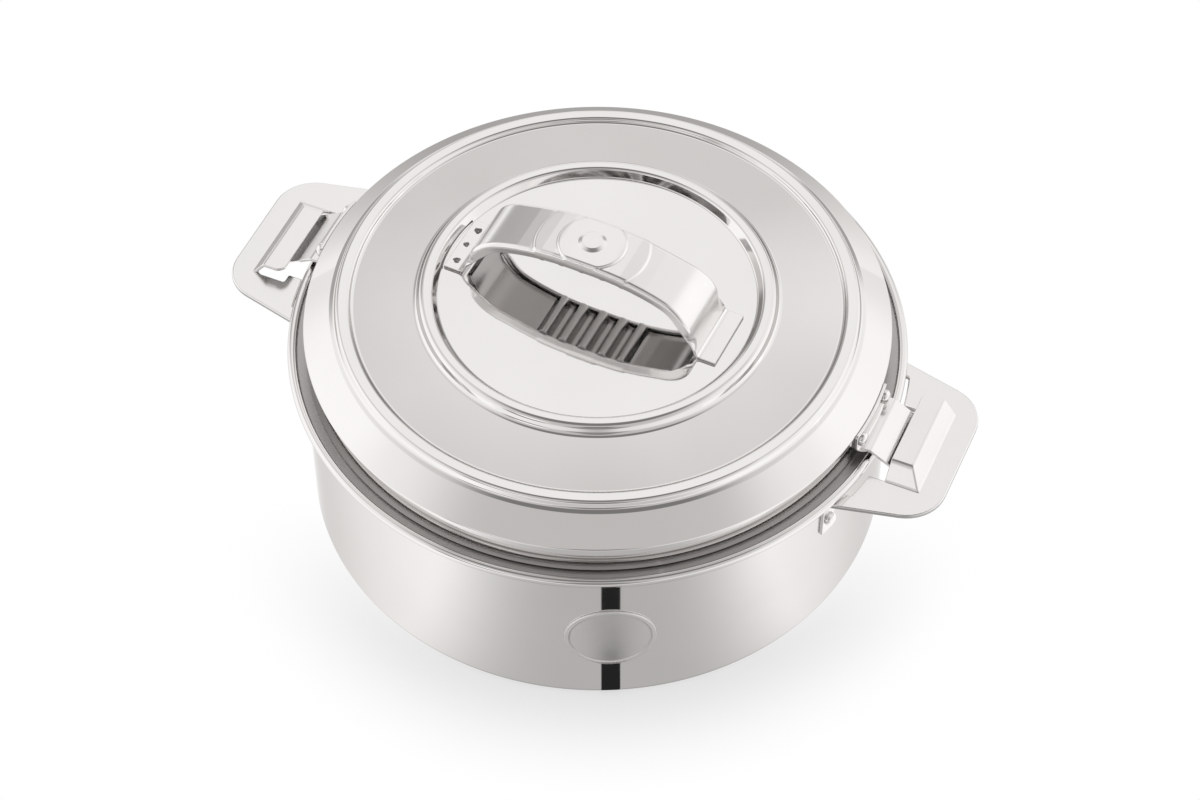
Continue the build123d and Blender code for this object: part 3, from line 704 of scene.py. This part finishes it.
def strap_turned(some_lump):
    """Puts a lump drawn along X in the place of the strap, which sits a little askew."""
    cos, sin = math.cos(STRAP_TURN), math.sin(STRAP_TURN)
    rows = np.array(((cos, sin, 0), (-sin, cos, 0), (0, 0, 1)))
    return (some_lump[0] + np.array((STRAP_SHIFT, 0, 0))) @ rows, some_lump[1], some_lump[2] @ rows


strap = strap_turned(together(strap_sheet, button, *weld_marks))
strap_arch = make_piece("strap_arch", strap, "lid", "satin_steel", "handle_strap")

# %% [markdown]
# The underside of the strap is filled by a corrugated strip for the fingers. It can be seen from the front
# only as a mirror image in the recessed disc, and directly when the lid is lifted.

# %% Ribbed grip
GRIP_SHEET, GRIP_EDGE, GRIP_STEP = 1.25, 0.3, 0.5
GRIP_HALF, GRIP_COLUMNS = 9.4, 21
GRIP_START = 0.2
GRIP_GAP = 0.06
RIB_PITCH, RIB_COUNT, RIB_HEIGHT, RIB_FADE = 8.2, 5, 3.8, 2.0
grip_start = np.array(FOOT) + (np.array(SHOULDER) - np.array(FOOT)) * GRIP_START
grip_corners = both_halves([tuple(grip_start), SHOULDER, CREST])
grip_path, _ = pressed_line(grip_corners, strap_bends[1:-1], step=ARCH_STEP)
grip_line = evenly(grip_path, GRIP_STEP)
grip_ways = line_ways(grip_line)
grip_square = np.stack([-grip_ways[:, 1], grip_ways[:, 0]], axis=1)
grip_runs = line_runs(grip_line)
from_middle = grip_runs - grip_runs[-1] / 2
ribbed = smooth_share(RIB_COUNT * RIB_PITCH / 2 - np.abs(from_middle), 0, RIB_FADE)
wave = 0.5 + 0.5 * np.cos(2 * math.pi * (from_middle / RIB_PITCH))
rib_drop = GRIP_SHEET + RIB_HEIGHT * ribbed * smooth_share(wave, 0.0, 1.0)
grip_sideways = np.linspace(-GRIP_HALF, GRIP_HALF, GRIP_COLUMNS)


def grip_grid(drop):
    line = grip_line - grip_square * np.reshape(drop, (-1, 1))
    return np.array([[(x, y, z) for y in grip_sideways] for x, z in line])


grip = closed_sheet(grip_grid(rib_drop), grip_grid(np.full(len(grip_line), GRIP_GAP)), GRIP_EDGE)
finger_grip = make_piece("finger_grip", strap_turned(grip), "lid", "satin_steel", "handle_grip")

# %% [markdown]
# A plain oval plate sits on the front of the wall. It is turned like a shallow lid with a raised border and
# then bent to the wall's radius, so it lies against the steel all over.

# %% Plain oval plate
OVAL_ANGLE = math.radians(-63.9)
OVAL_HEIGHT = 36.3
OVAL_HALF, OVAL_TALL = 16.6, 16.0
OVAL_GAP = 0.05
OVAL_RUN, OVAL_STEPS = 1.2, 120
oval_line = [(0, OVAL_GAP), (OVAL_HALF, OVAL_GAP), (OVAL_HALF, 0.75), (15.1, 0.85), (14.5, 0.5), (0, 0.62)]
oval_points, oval_lefts = pressed_line(oval_line, [0.08, 0.4, 0.3, 0.5])


def finer(section, step):
    """The same section with points no further apart than the step."""
    points, ways = [section[0][0]], [section[1][0]]
    for start, end, way, next_way in zip(section[0], section[0][1:], section[1], section[1][1:]):
        count = max(1, math.ceil(np.linalg.norm(end - start) / step))
        for k in range(1, count + 1):
            points.append(start + (end - start) * k / count)
            ways.append(unit(way + (next_way - way) * k / count))
    return np.array(points), np.array(ways)


def bent_to_wall(some_lump):
    """Lays a flat lump on the wall: its X runs round the pot, its Y up and its Z straight out."""
    x, y, z = (some_lump[0] * np.array((1, OVAL_TALL / OVAL_HALF, 1))).T
    angle = OVAL_ANGLE + x / WALL_RADIUS
    out = np.stack([np.cos(angle), np.sin(angle), np.zeros_like(x)], axis=1)
    round_wall = np.stack([-np.sin(angle), np.cos(angle), np.zeros_like(x)], axis=1)
    points = out * (WALL_RADIUS + z)[:, None]
    points[:, 2] = OVAL_HEIGHT + y
    ways = round_wall * some_lump[2][:, :1] + out * some_lump[2][:, 2:]
    ways[:, 2] = some_lump[2][:, 1]
    return points, some_lump[1], ways


flat_oval = spin(finer((oval_points, -oval_lefts), OVAL_RUN), OVAL_STEPS)
plain_oval = make_piece("plain_oval", bent_to_wall(flat_oval), "pot", "satin_steel", "badge_plate")

# %% [markdown]
# Finishes come next. Every finish is built from nodes, so it has no seams and needs no pictures. A few short
# helpers keep the node lists readable. The first adds a node and sets or wires its sockets, and the others
# each stand for one or two nodes that come back often.

# %% Node helpers
EDGE_FLAT = 0.52


def add_node(tree, kind, sockets=None, **settings):
    node = tree.nodes.new(kind)
    for name, value in settings.items():
        setattr(node, name, value)
    for name, value in (sockets or {}).items():
        if isinstance(value, bpy.types.NodeSocket):
            tree.links.new(value, node.inputs[name])
        else:
            node.inputs[name].default_value = value
    return node


def new_finish(name):
    finish = bpy.data.materials.new(name)
    finish.use_nodes = True
    return finish, finish.node_tree, finish.node_tree.nodes["Principled BSDF"]


def number(tree, operation, *values):
    return add_node(tree, "ShaderNodeMath", dict(enumerate(values)), operation=operation).outputs[0]


def length(tree, vector):
    return add_node(tree, "ShaderNodeVectorMath", {0: vector}, operation="LENGTH").outputs["Value"]


def along(tree, place, way):
    """How far a place lies along a direction."""
    return add_node(tree, "ShaderNodeVectorMath", {0: place, 1: way}, operation="DOT_PRODUCT").outputs["Value"]


def soft_step(tree, value, low, high):
    """A share that goes softly from 0 to 1 while a value goes from low to high."""
    sockets = {"Value": value, "From Min": low, "From Max": high}
    return add_node(tree, "ShaderNodeMapRange", sockets, interpolation_type="SMOOTHSTEP").outputs["Result"]


def blend_numbers(tree, share, low, high):
    """A number that goes from low to high with a share from 0 to 1."""
    sockets = {"Value": share, "To Min": low, "To Max": high}
    return add_node(tree, "ShaderNodeMapRange", sockets).outputs["Result"]


def blend_colours(tree, share, first, second):
    mix = add_node(tree, "ShaderNodeMix", {"Factor": share}, data_type="RGBA")
    for socket, colour in zip((mix.inputs[6], mix.inputs[7]), (first, second)):
        if isinstance(colour, bpy.types.NodeSocket):
            tree.links.new(colour, socket)
        else:
            socket.default_value = (*colour, 1)
    return mix.outputs[2]


def worn_edges(tree, sharp):
    """A share that is full on edges as sharp as given and nothing on flat metal."""
    edge = add_node(tree, "ShaderNodeNewGeometry").outputs["Pointiness"]
    sockets = {"Value": edge, "From Min": EDGE_FLAT, "From Max": sharp}
    return add_node(tree, "ShaderNodeMapRange", sockets).outputs["Result"]


def noise(tree, vector, scale, detail=2.0, roughness=0.5):
    sockets = {"Vector": vector, "Scale": scale, "Detail": detail, "Roughness": roughness}
    return add_node(tree, "ShaderNodeTexNoise", sockets).outputs["Fac"]


def bump(tree, height, depth, below=None):
    sockets = {"Height": height, "Distance": depth, "Strength": 1.0}
    if below is not None:
        sockets["Normal"] = below
    return add_node(tree, "ShaderNodeBump", sockets).outputs["Normal"]


# %% [markdown]
# Spun steel is polished while it turns, so its finest lines run round the axis. The noise is read by distance
# from the axis and height, which makes rings out of it. A second, broad noise stands for finger marks and
# uneven buffing, a third for the slight waviness of thin sheet, and edges are a touch brighter and rougher.
# The specular tint greys the steel where it is seen at a grazing angle, so that the pot's outline stands out
# from a white ground.

# %% Polished steel
STEEL_DARK, STEEL_LIGHT, STEEL_EDGE = (0.80, 0.785, 0.775), (0.87, 0.86, 0.855), (0.93, 0.925, 0.92)
GRAZING_TINT = (0.66, 0.65, 0.645, 1)
RING_SCALE, BUFFING_SCALE, WAVY_SCALE = 2600, 22, 30
RING_DEPTH, WAVY_DEPTH = 2e-7, 1e-5
STEEL_SHARP, EDGE_ROUGH = 0.62, 0.05


def polished(name, smooth, rough):
    finish, tree, shader = new_finish(name)
    place = add_node(tree, "ShaderNodeTexCoord").outputs["Object"]
    parts = add_node(tree, "ShaderNodeSeparateXYZ", {"Vector": place}).outputs
    level = add_node(tree, "ShaderNodeCombineXYZ", {"X": parts["X"], "Y": parts["Y"]}).outputs["Vector"]
    radius = length(tree, level)
    rings = add_node(tree, "ShaderNodeCombineXYZ", {"X": radius, "Y": parts["Z"]}).outputs["Vector"]
    lines = noise(tree, rings, RING_SCALE, 3.0, 0.7)
    buffing = noise(tree, place, BUFFING_SCALE, 3.0)
    wavy = noise(tree, place, WAVY_SCALE, 1.0)
    wear = worn_edges(tree, STEEL_SHARP)
    base = blend_colours(tree, buffing, STEEL_DARK, STEEL_LIGHT)
    tree.links.new(blend_colours(tree, wear, base, STEEL_EDGE), shader.inputs["Base Color"])
    ring_rough = blend_numbers(tree, lines, smooth, rough)
    spread = number(tree, "MULTIPLY", ring_rough, blend_numbers(tree, buffing, 0.7, 1.3))
    tree.links.new(number(tree, "MULTIPLY_ADD", wear, EDGE_ROUGH, spread), shader.inputs["Roughness"])
    waves = bump(tree, wavy, WAVY_DEPTH)
    tree.links.new(bump(tree, lines, RING_DEPTH, waves), shader.inputs["Normal"])
    shader.inputs["Metallic"].default_value = 1.0
    shader.inputs["Specular Tint"].default_value = GRAZING_TINT
    return finish


bright_steel = polished("bright_steel", 0.035, 0.08)
mirror_steel = polished("mirror_steel", 0.03, 0.06)
print("finishes so far:", [finish.name for finish in bpy.data.materials][-2:])

# %% [markdown]
# The handles, latches and rivets are tumbled and lightly brushed, so they give soft, broad reflections. The
# brushing is noise stretched along one direction. Grain and roughness differ from piece to piece, as hand work
# does. The right handle and its latch get a slightly darker copy of the handle finish, which is painted shade,
# and the finger grip is painted dark as shade under the strap. The ledge finish and the edge finish here are
# painted shade too. Each finish is a stretch, the least and most roughness, and a dark and a light tone.

# %% Satin steel
SATIN_DARK, SATIN_LIGHT, SATIN_EDGE = (0.84, 0.825, 0.82), (0.90, 0.89, 0.885), (0.90, 0.895, 0.89)
GRAIN_SCALE, PATCH_SCALE, PIT_SCALE = 1800, 60, 1400
GRAIN_DEPTH, PIT_DEPTH = 2e-7, 2e-7
SATIN_SHARP = 0.64
EVEN = (1.0, 1.0, 1.0)


def satin(name, stretch, smooth, rough, dark=SATIN_DARK, light=SATIN_LIGHT):
    finish, tree, shader = new_finish(name)
    place = add_node(tree, "ShaderNodeTexCoord").outputs["Object"]
    stretched = add_node(tree, "ShaderNodeMapping", {"Vector": place, "Scale": stretch}).outputs["Vector"]
    grain = noise(tree, stretched, GRAIN_SCALE, 3.0, 0.65)
    patches = noise(tree, place, PATCH_SCALE, 3.0)
    pits = noise(tree, place, PIT_SCALE)
    base = blend_colours(tree, patches, dark, light)
    worn = blend_colours(tree, worn_edges(tree, SATIN_SHARP), base, SATIN_EDGE)
    tree.links.new(worn, shader.inputs["Base Color"])
    grain_rough = blend_numbers(tree, grain, smooth, rough)
    spread = number(tree, "MULTIPLY", grain_rough, blend_numbers(tree, patches, 0.8, 1.2))
    tree.links.new(spread, shader.inputs["Roughness"])
    tree.links.new(bump(tree, grain, GRAIN_DEPTH, bump(tree, pits, PIT_DEPTH)), shader.inputs["Normal"])
    shader.inputs["Metallic"].default_value = 1.0
    return finish


handle_satin = satin("handle_satin", (1.0, 0.08, 1.0), 0.16, 0.22)
# Painted shade: a slightly darker copy of the handle finish, for the right handle and its latch.
shaded_handle_satin = satin("shaded_handle_satin", (1.0, 0.08, 1.0), 0.16, 0.24, (0.81, 0.795, 0.79), (0.89, 0.875, 0.87))
latch_satin = satin("latch_satin", (1.0, 0.1, 1.0), 0.16, 0.24)
strap_satin = satin("strap_satin", (0.1, 1.0, 1.0), 0.17, 0.24)
# Painted shade: the finger grip is made dark, as shade under the strap.
shaded_grip_satin = satin("shaded_grip_satin", (1.0, 0.1, 1.0), 0.18, 0.28, (0.38, 0.37, 0.365), (0.48, 0.47, 0.465))
# Painted shade: darker, rougher steel for the ledge in the crevice under the lid's edge.
ledge_shade_steel = satin("ledge_shade_steel", EVEN, 0.30, 0.42, (0.46, 0.45, 0.445), (0.56, 0.55, 0.545))
# Painted shade: dark steel for the upright edges of plates and tabs and the insides of the hoods.
edge_shade_steel = satin("edge_shade_steel", EVEN, 0.30, 0.42, (0.26, 0.255, 0.25), (0.36, 0.35, 0.345))
burnt_steel = satin("burnt_steel", EVEN, 0.30, 0.45, (0.12, 0.115, 0.11), (0.30, 0.29, 0.28))
rivet_steel = satin("rivet_steel", EVEN, 0.10, 0.16)
oval_satin = satin("oval_satin", (0.1, 0.1, 1.0), 0.42, 0.55)

# %% [markdown]
# The hidden pieces have their own finishes: foam with fine cells, a milky soft ring and a grey moulded plug.

# %% Foam, silicone and plastic
CELLS_IN_A_PATCH = 12
LIGHT_DEPTH = (0.002, 0.002, 0.002)


def moulded(name, dark, light, scale, depth, rough, soft=0.0):
    finish, tree, shader = new_finish(name)
    place = add_node(tree, "ShaderNodeTexCoord").outputs["Object"]
    cells = add_node(tree, "ShaderNodeTexVoronoi", {"Vector": place, "Scale": scale}).outputs["Distance"]
    mottled = noise(tree, place, scale / CELLS_IN_A_PATCH, 4.0)
    tree.links.new(blend_colours(tree, mottled, dark, light), shader.inputs["Base Color"])
    tree.links.new(blend_numbers(tree, mottled, rough * 0.85, rough * 1.1), shader.inputs["Roughness"])
    tree.links.new(bump(tree, cells, depth), shader.inputs["Normal"])
    shader.inputs["Subsurface Weight"].default_value = soft
    shader.inputs["Subsurface Radius"].default_value = LIGHT_DEPTH
    return finish


foam = moulded("foam", (0.72, 0.60, 0.38), (0.82, 0.72, 0.50), 900, 2e-4, 0.9)
soft_ring = moulded("soft_ring", (0.76, 0.76, 0.75), (0.84, 0.84, 0.83), 2400, 3e-6, 0.45, 0.2)
grey_plastic = moulded("grey_plastic", (0.30, 0.30, 0.31), (0.38, 0.38, 0.39), 2600, 8e-6, 0.5)

# %% [markdown]
# Now each piece gets its finish. The two foam fillings keep their CAD shapes, because nothing ever shows
# them.

# %% Finishes on the pieces
finish_of = {
    bright_steel: [shell_wall, bowl_and_rim, under_plate, lid_pan],
    mirror_steel: [lid_top],
    handle_satin: [left_handle],
    # The right handle and its latch carry the painted shade copy of the handle finish.
    shaded_handle_satin: [right_handle, right_tongue],
    latch_satin: [left_tongue],
    strap_satin: [strap_arch],
    shaded_grip_satin: [finger_grip],
    rivet_steel: ear_rivets + latch_rivets,
    oval_satin: [plain_oval],
    soft_ring: [seal_ring],
    grey_plastic: [foam_plug],
    foam: [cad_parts["body_insulation"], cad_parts["lid_insulation"]],
}
for finish, dressed in finish_of.items():
    for piece in dressed:
        piece.data.materials.clear()
        piece.data.materials.append(finish)
print(sum(len(dressed) for dressed in finish_of.values()), "pieces have a finish")

# %% [markdown]
# The narrow ledge between rim and lid gets a darker, rougher finish: painted shade for the crevice under the
# lid's edge. The weld marks on the strap are burnt. The upright edges of plates and tabs and the insides of
# the hoods are painted dark, as shade under the edges and inside the hoods. All of these are part of bigger
# pieces, which get a second finish on just those faces.

# %% Painted shade on ledge and edges, burnt marks
LEDGE_SHADE_INNER, LEDGE_SHADE_OUTER, LEDGE_SHADE_ABOVE = 101.5, 111.7, 70
NEARLY_UPRIGHT, LOOKING_DOWN = 0.4, -0.2
first_mark = len(strap_arch.data.polygons) - sum(len(mark[1]) for mark in weld_marks)


def on_ledge(face):
    from_axis = math.hypot(face.center.x, face.center.y) / MM
    return LEDGE_SHADE_INNER < from_axis < LEDGE_SHADE_OUTER and face.center.z / MM > LEDGE_SHADE_ABOVE


def on_mark(face):
    return face.index >= first_mark


def on_cut(face, low, high):
    return abs(face.normal.z) < NEARLY_UPRIGHT and low < face.center.z / MM < high


# Faces that get painted shade: the insides of the hood and the upright edges of the plate.
def on_shaded_handle(face):
    in_hood = face.normal.z < LOOKING_DOWN and face.center.z / MM > PLATE_TOP
    return in_hood or on_cut(face, PLATE_BOTTOM, PLATE_TOP)


def on_tab_edge(face):
    return on_cut(face, STRAP_SEAT, TAB_TOP)


def second_finish(piece, finish, chosen):
    """Gives one more finish to the chosen faces, where they still have the first."""
    piece.data.materials.append(finish)
    faces = [face for face in piece.data.polygons if face.material_index == 0 and chosen(face)]
    for face in faces:
        face.material_index = len(piece.data.materials) - 1
    print(piece.name, "has", finish.name, "on", len(faces), "faces")


# Painted shade on the ledge between rim and lid.
second_finish(bowl_and_rim, ledge_shade_steel, on_ledge)
second_finish(strap_arch, burnt_steel, on_mark)
# Painted shade on the tab edges, and on the handles' edges and hood insides.
second_finish(strap_arch, edge_shade_steel, on_tab_edge)
second_finish(left_handle, edge_shade_steel, on_shaded_handle)
second_finish(right_handle, edge_shade_steel, on_shaded_handle)

# %% [markdown]
# The camera stands where the photographer stood: in front, a little to the right, looking down at about fifty
# degrees through a long lens. Place, direction and lens come from fitting the rim and the creases of the lid.

# %% Camera
CAMERA_PLACE = Vector((0.3030, -0.6882, 0.9450))
CAMERA_WAY = Vector((-0.2564, 0.5842, -0.7700))
SENSOR, LENS = 36.0, 92.9
camera = bpy.data.objects.new("camera", bpy.data.cameras.new("camera"))
camera.data.sensor_fit = "HORIZONTAL"
camera.data.sensor_width = SENSOR
camera.data.lens = LENS
camera.location = CAMERA_PLACE
camera.rotation_euler = CAMERA_WAY.to_track_quat("-Z", "Y").to_euler()
bpy.context.scene.collection.objects.link(camera)
bpy.context.scene.camera = camera
bpy.context.scene.view_settings.view_transform = "Standard"

# %% [markdown]
# Polished steel has almost no colour of its own: it shows the room. The room here is a white studio. Its
# walls are bright all round, and the ceiling is greyer and dark overhead. The side behind the camera is grey,
# with a dark spot where camera and photographer stand, two low dark spots and a small bright one that band
# the front of the lid. A brighter patch glows at each side. Behind the casserole hang two soft panels, and
# below them two grey screens that draw dark lines along the creases. Level surfaces mirror the panel in the
# middle, and sloped ones mirror the greys round it. Each spot is a direction, the cosines at which it starts
# and is full, and a colour.

# %% Studio walls
FRONT = Vector((0.403, -0.915, 0.0))
RIGHT = Vector((0.915, 0.403, 0.0))
UP = Vector((0.0, 0.0, 1.0))
WHITE, CEILING, OVERHEAD = (1.0, 0.99, 0.985), (0.74, 0.725, 0.72), (0.22, 0.215, 0.21)
BEHIND, DARK_SPOT, SCREEN = (0.60, 0.585, 0.58), (0.15, 0.145, 0.14), (0.44, 0.43, 0.425)
BRIGHT, LOW_SPOT = (1.13, 1.12, 1.115), (0.30, 0.29, 0.285)
CEILING_RISE, CEILING_SIDES = (0.37, 0.60), (0.72, 0.45)
world = bpy.data.worlds.new("studio")
bpy.context.scene.world = world
world.use_nodes = True
room = world.node_tree
ray_way = add_node(room, "ShaderNodeTexCoord").outputs["Generated"]


def leaning(side, degrees):
    """Direction that looks to a side, raised by some degrees."""
    return side.normalized() * math.cos(math.radians(degrees)) + UP * math.sin(math.radians(degrees))


rise = along(room, ray_way, UP)
aside = number(room, "ABSOLUTE", along(room, ray_way, RIGHT))
upper = number(
    room, "MULTIPLY", soft_step(room, rise, *CEILING_RISE), soft_step(room, aside, *CEILING_SIDES)
)
walls = blend_colours(room, upper, WHITE, CEILING)
spots = [
    (leaning(FRONT, 48), 0.50, 1.0, BEHIND),
    (leaning(FRONT, 40), 0.985, 0.997, DARK_SPOT),
    (leaning(FRONT, 20), 0.94, 0.985, LOW_SPOT),
    (leaning(FRONT * 0.70 - RIGHT * 0.59, 19), 0.970, 0.988, LOW_SPOT),
    (leaning(FRONT * 0.62 - RIGHT * 0.485, 32), 0.982, 0.995, BRIGHT),
    (leaning(RIGHT - FRONT * 0.3, 14), 0.85, 0.97, BRIGHT),
    (leaning(-RIGHT - FRONT * 0.3, 14), 0.85, 0.97, BRIGHT),
    (leaning(-FRONT - RIGHT * 0.58, 21), 0.935, 0.985, SCREEN),
    (leaning(-FRONT + RIGHT * 0.53, 18), 0.965, 0.988, SCREEN),
    (leaning(-FRONT + RIGHT * 0.75, 38), 0.94, 0.98, WHITE),
    (UP, 0.88, 0.96, OVERHEAD),
    (leaning(-FRONT, 50), 0.968, 0.993, WHITE),
]
for way, edge, middle, colour in spots:
    walls = blend_colours(room, soft_step(room, along(room, ray_way, way), edge, middle), walls, colour)
rays = add_node(room, "ShaderNodeLightPath").outputs
seen = blend_colours(room, rays["Is Camera Ray"], walls, (1.0, 1.0, 1.0))
room.links.new(seen, room.nodes["Background"].inputs["Color"])

# %% [markdown]
# The floor is a plain white sweep. The camera sees it as white, with a faint soft shadow in front of the pot.
# Mirrors see painted colours on it: a painted shade, grey in front of the pot and behind it, and a painted
# glow a little brighter than white at both sides. In front, a dark stripe painted for mirrors only shows in
# the wall as a painted reflection, one narrow upright line. A round wall spreads what it mirrors, so the
# stripe has to widen with its distance to look equally wide all the way up.
# The light path node tells the two kinds of ray apart, so no extra light falls on the steel.

# %% Floor
FLOOR_HALF, FLOOR_DROP = 4.0, 0.0003
# What mirrors see on the floor: a painted glow brighter than white at the sides, painted shade behind and in
# front, and a painted dark stripe.
SIDE_FLOOR, BACK_FLOOR, FRONT_FLOOR = (1.12, 1.11, 1.105), (0.63, 0.62, 0.615), (0.53, 0.52, 0.515)
SHADE_ASKEW, SHADE_FAN, SHADE_REACH, SHADE_CHANGE = 0.035, (0.70, 1.0), (2.0, 0.45), (-0.08, 0.08)
STRIPE_COLOUR, STRIPE_PLACE, STRIPE_EDGE = (0.02, 0.02, 0.02), 0.043, (0.034, 0.030)
STRIPE_START, STRIPE_END = (0.05, 0.07), (0.170, 0.166)
SHADOW_REACH, SHADOW_FRONT, SHADOW_WHITE = (0.158, 0.105), (0.01, 0.10), 0.60
PAPER = (0.86, 0.86, 0.86, 1)
floor_mesh = bpy.data.meshes.new("floor")
floor_sides = ((-1, -1), (1, -1), (1, 1), (-1, 1))
floor_corners = [(FLOOR_HALF * x, FLOOR_HALF * y, -FLOOR_DROP) for x, y in floor_sides]
floor_mesh.from_pydata(floor_corners, [], [(0, 1, 2, 3)])
floor = bpy.data.objects.new("floor", floor_mesh)
bpy.context.scene.collection.objects.link(floor)
floor_white, tree, shader = new_finish("floor_white")
tree.nodes.remove(shader)
place = add_node(tree, "ShaderNodeNewGeometry").outputs["Position"]
distance = length(tree, place)
forward = along(tree, place, FRONT)
ahead = along(tree, place, (FRONT + RIGHT * SHADE_ASKEW).normalized())
ahead = number(tree, "ABSOLUTE", number(tree, "DIVIDE", ahead, distance))
near = soft_step(tree, distance, *SHADE_REACH)
shaded = number(tree, "MULTIPLY", soft_step(tree, ahead, *SHADE_FAN), near)
# Painted shade for mirrors: grey behind and in front of the pot, and a painted glow at the sides.
shade = blend_colours(tree, soft_step(tree, forward, *SHADE_CHANGE), BACK_FLOOR, FRONT_FLOOR)
grey_or_white = blend_colours(tree, shaded, SIDE_FLOOR, shade)
# Painted reflection: a dark stripe on the floor that only mirrors see, shown in the wall as an upright line.
ray_spread = number(tree, "MULTIPLY_ADD", distance, 2.0, -WALL_RADIUS * MM)
from_stripe = number(tree, "DIVIDE", along(tree, place, RIGHT), ray_spread)
from_stripe = number(tree, "ABSOLUTE", number(tree, "SUBTRACT", from_stripe, STRIPE_PLACE))
stripe_side = soft_step(tree, from_stripe, *STRIPE_EDGE)
painted_stripe = number(tree, "MULTIPLY", stripe_side, soft_step(tree, forward, *STRIPE_END))
mirror_colour = blend_colours(tree, painted_stripe, grey_or_white, STRIPE_COLOUR)
mirror_colour = blend_colours(tree, soft_step(tree, forward, *STRIPE_START), grey_or_white, mirror_colour)
rays = add_node(tree, "ShaderNodeLightPath").outputs
shown = number(tree, "MAXIMUM", rays["Is Camera Ray"], rays["Is Transmission Ray"])
shadow_front = soft_step(tree, forward, *SHADOW_FRONT)
shadow = number(tree, "MULTIPLY", soft_step(tree, distance, *SHADOW_REACH), shadow_front)
glow = number(tree, "MULTIPLY", blend_numbers(tree, shadow, 1.0, SHADOW_WHITE), shown)
paper = add_node(tree, "ShaderNodeBsdfDiffuse", {"Color": PAPER}).outputs[0]
white = add_node(tree, "ShaderNodeEmission", {"Color": (1, 1, 1, 1), "Strength": 1.0}).outputs[0]
mirrored = add_node(tree, "ShaderNodeEmission", {"Color": mirror_colour, "Strength": 1.0}).outputs[0]
seen_floor = add_node(tree, "ShaderNodeMixShader", {0: glow, 1: paper, 2: white}).outputs[0]
glossy = rays["Is Glossy Ray"]
both = add_node(tree, "ShaderNodeMixShader", {0: glossy, 1: seen_floor, 2: mirrored}).outputs[0]
tree.links.new(both, tree.nodes["Material Output"].inputs["Surface"])
floor_mesh.materials.append(floor_white)

# %% [markdown]
# One broad lamp hangs above and a little behind, for the shadow and for the pieces that are not mirrors. The
# steel doesn't see it, because the panels of the studio already stand for it there.

# %% Lamp
LAMP_SIZE, LAMP_ENERGY = 1.2, 9.0
LAMP_BACK, LAMP_HEIGHT = 0.45, 1.6
lamp = bpy.data.objects.new("overhead_lamp", bpy.data.lights.new("overhead_lamp", "AREA"))
lamp.data.shape = "DISK"
lamp.data.size = LAMP_SIZE
lamp.data.energy = LAMP_ENERGY
lamp.location = -FRONT * LAMP_BACK + UP * LAMP_HEIGHT
lamp.rotation_euler = (-lamp.location).to_track_quat("-Z", "Y").to_euler()
lamp.visible_glossy = False
bpy.context.scene.collection.objects.link(lamp)
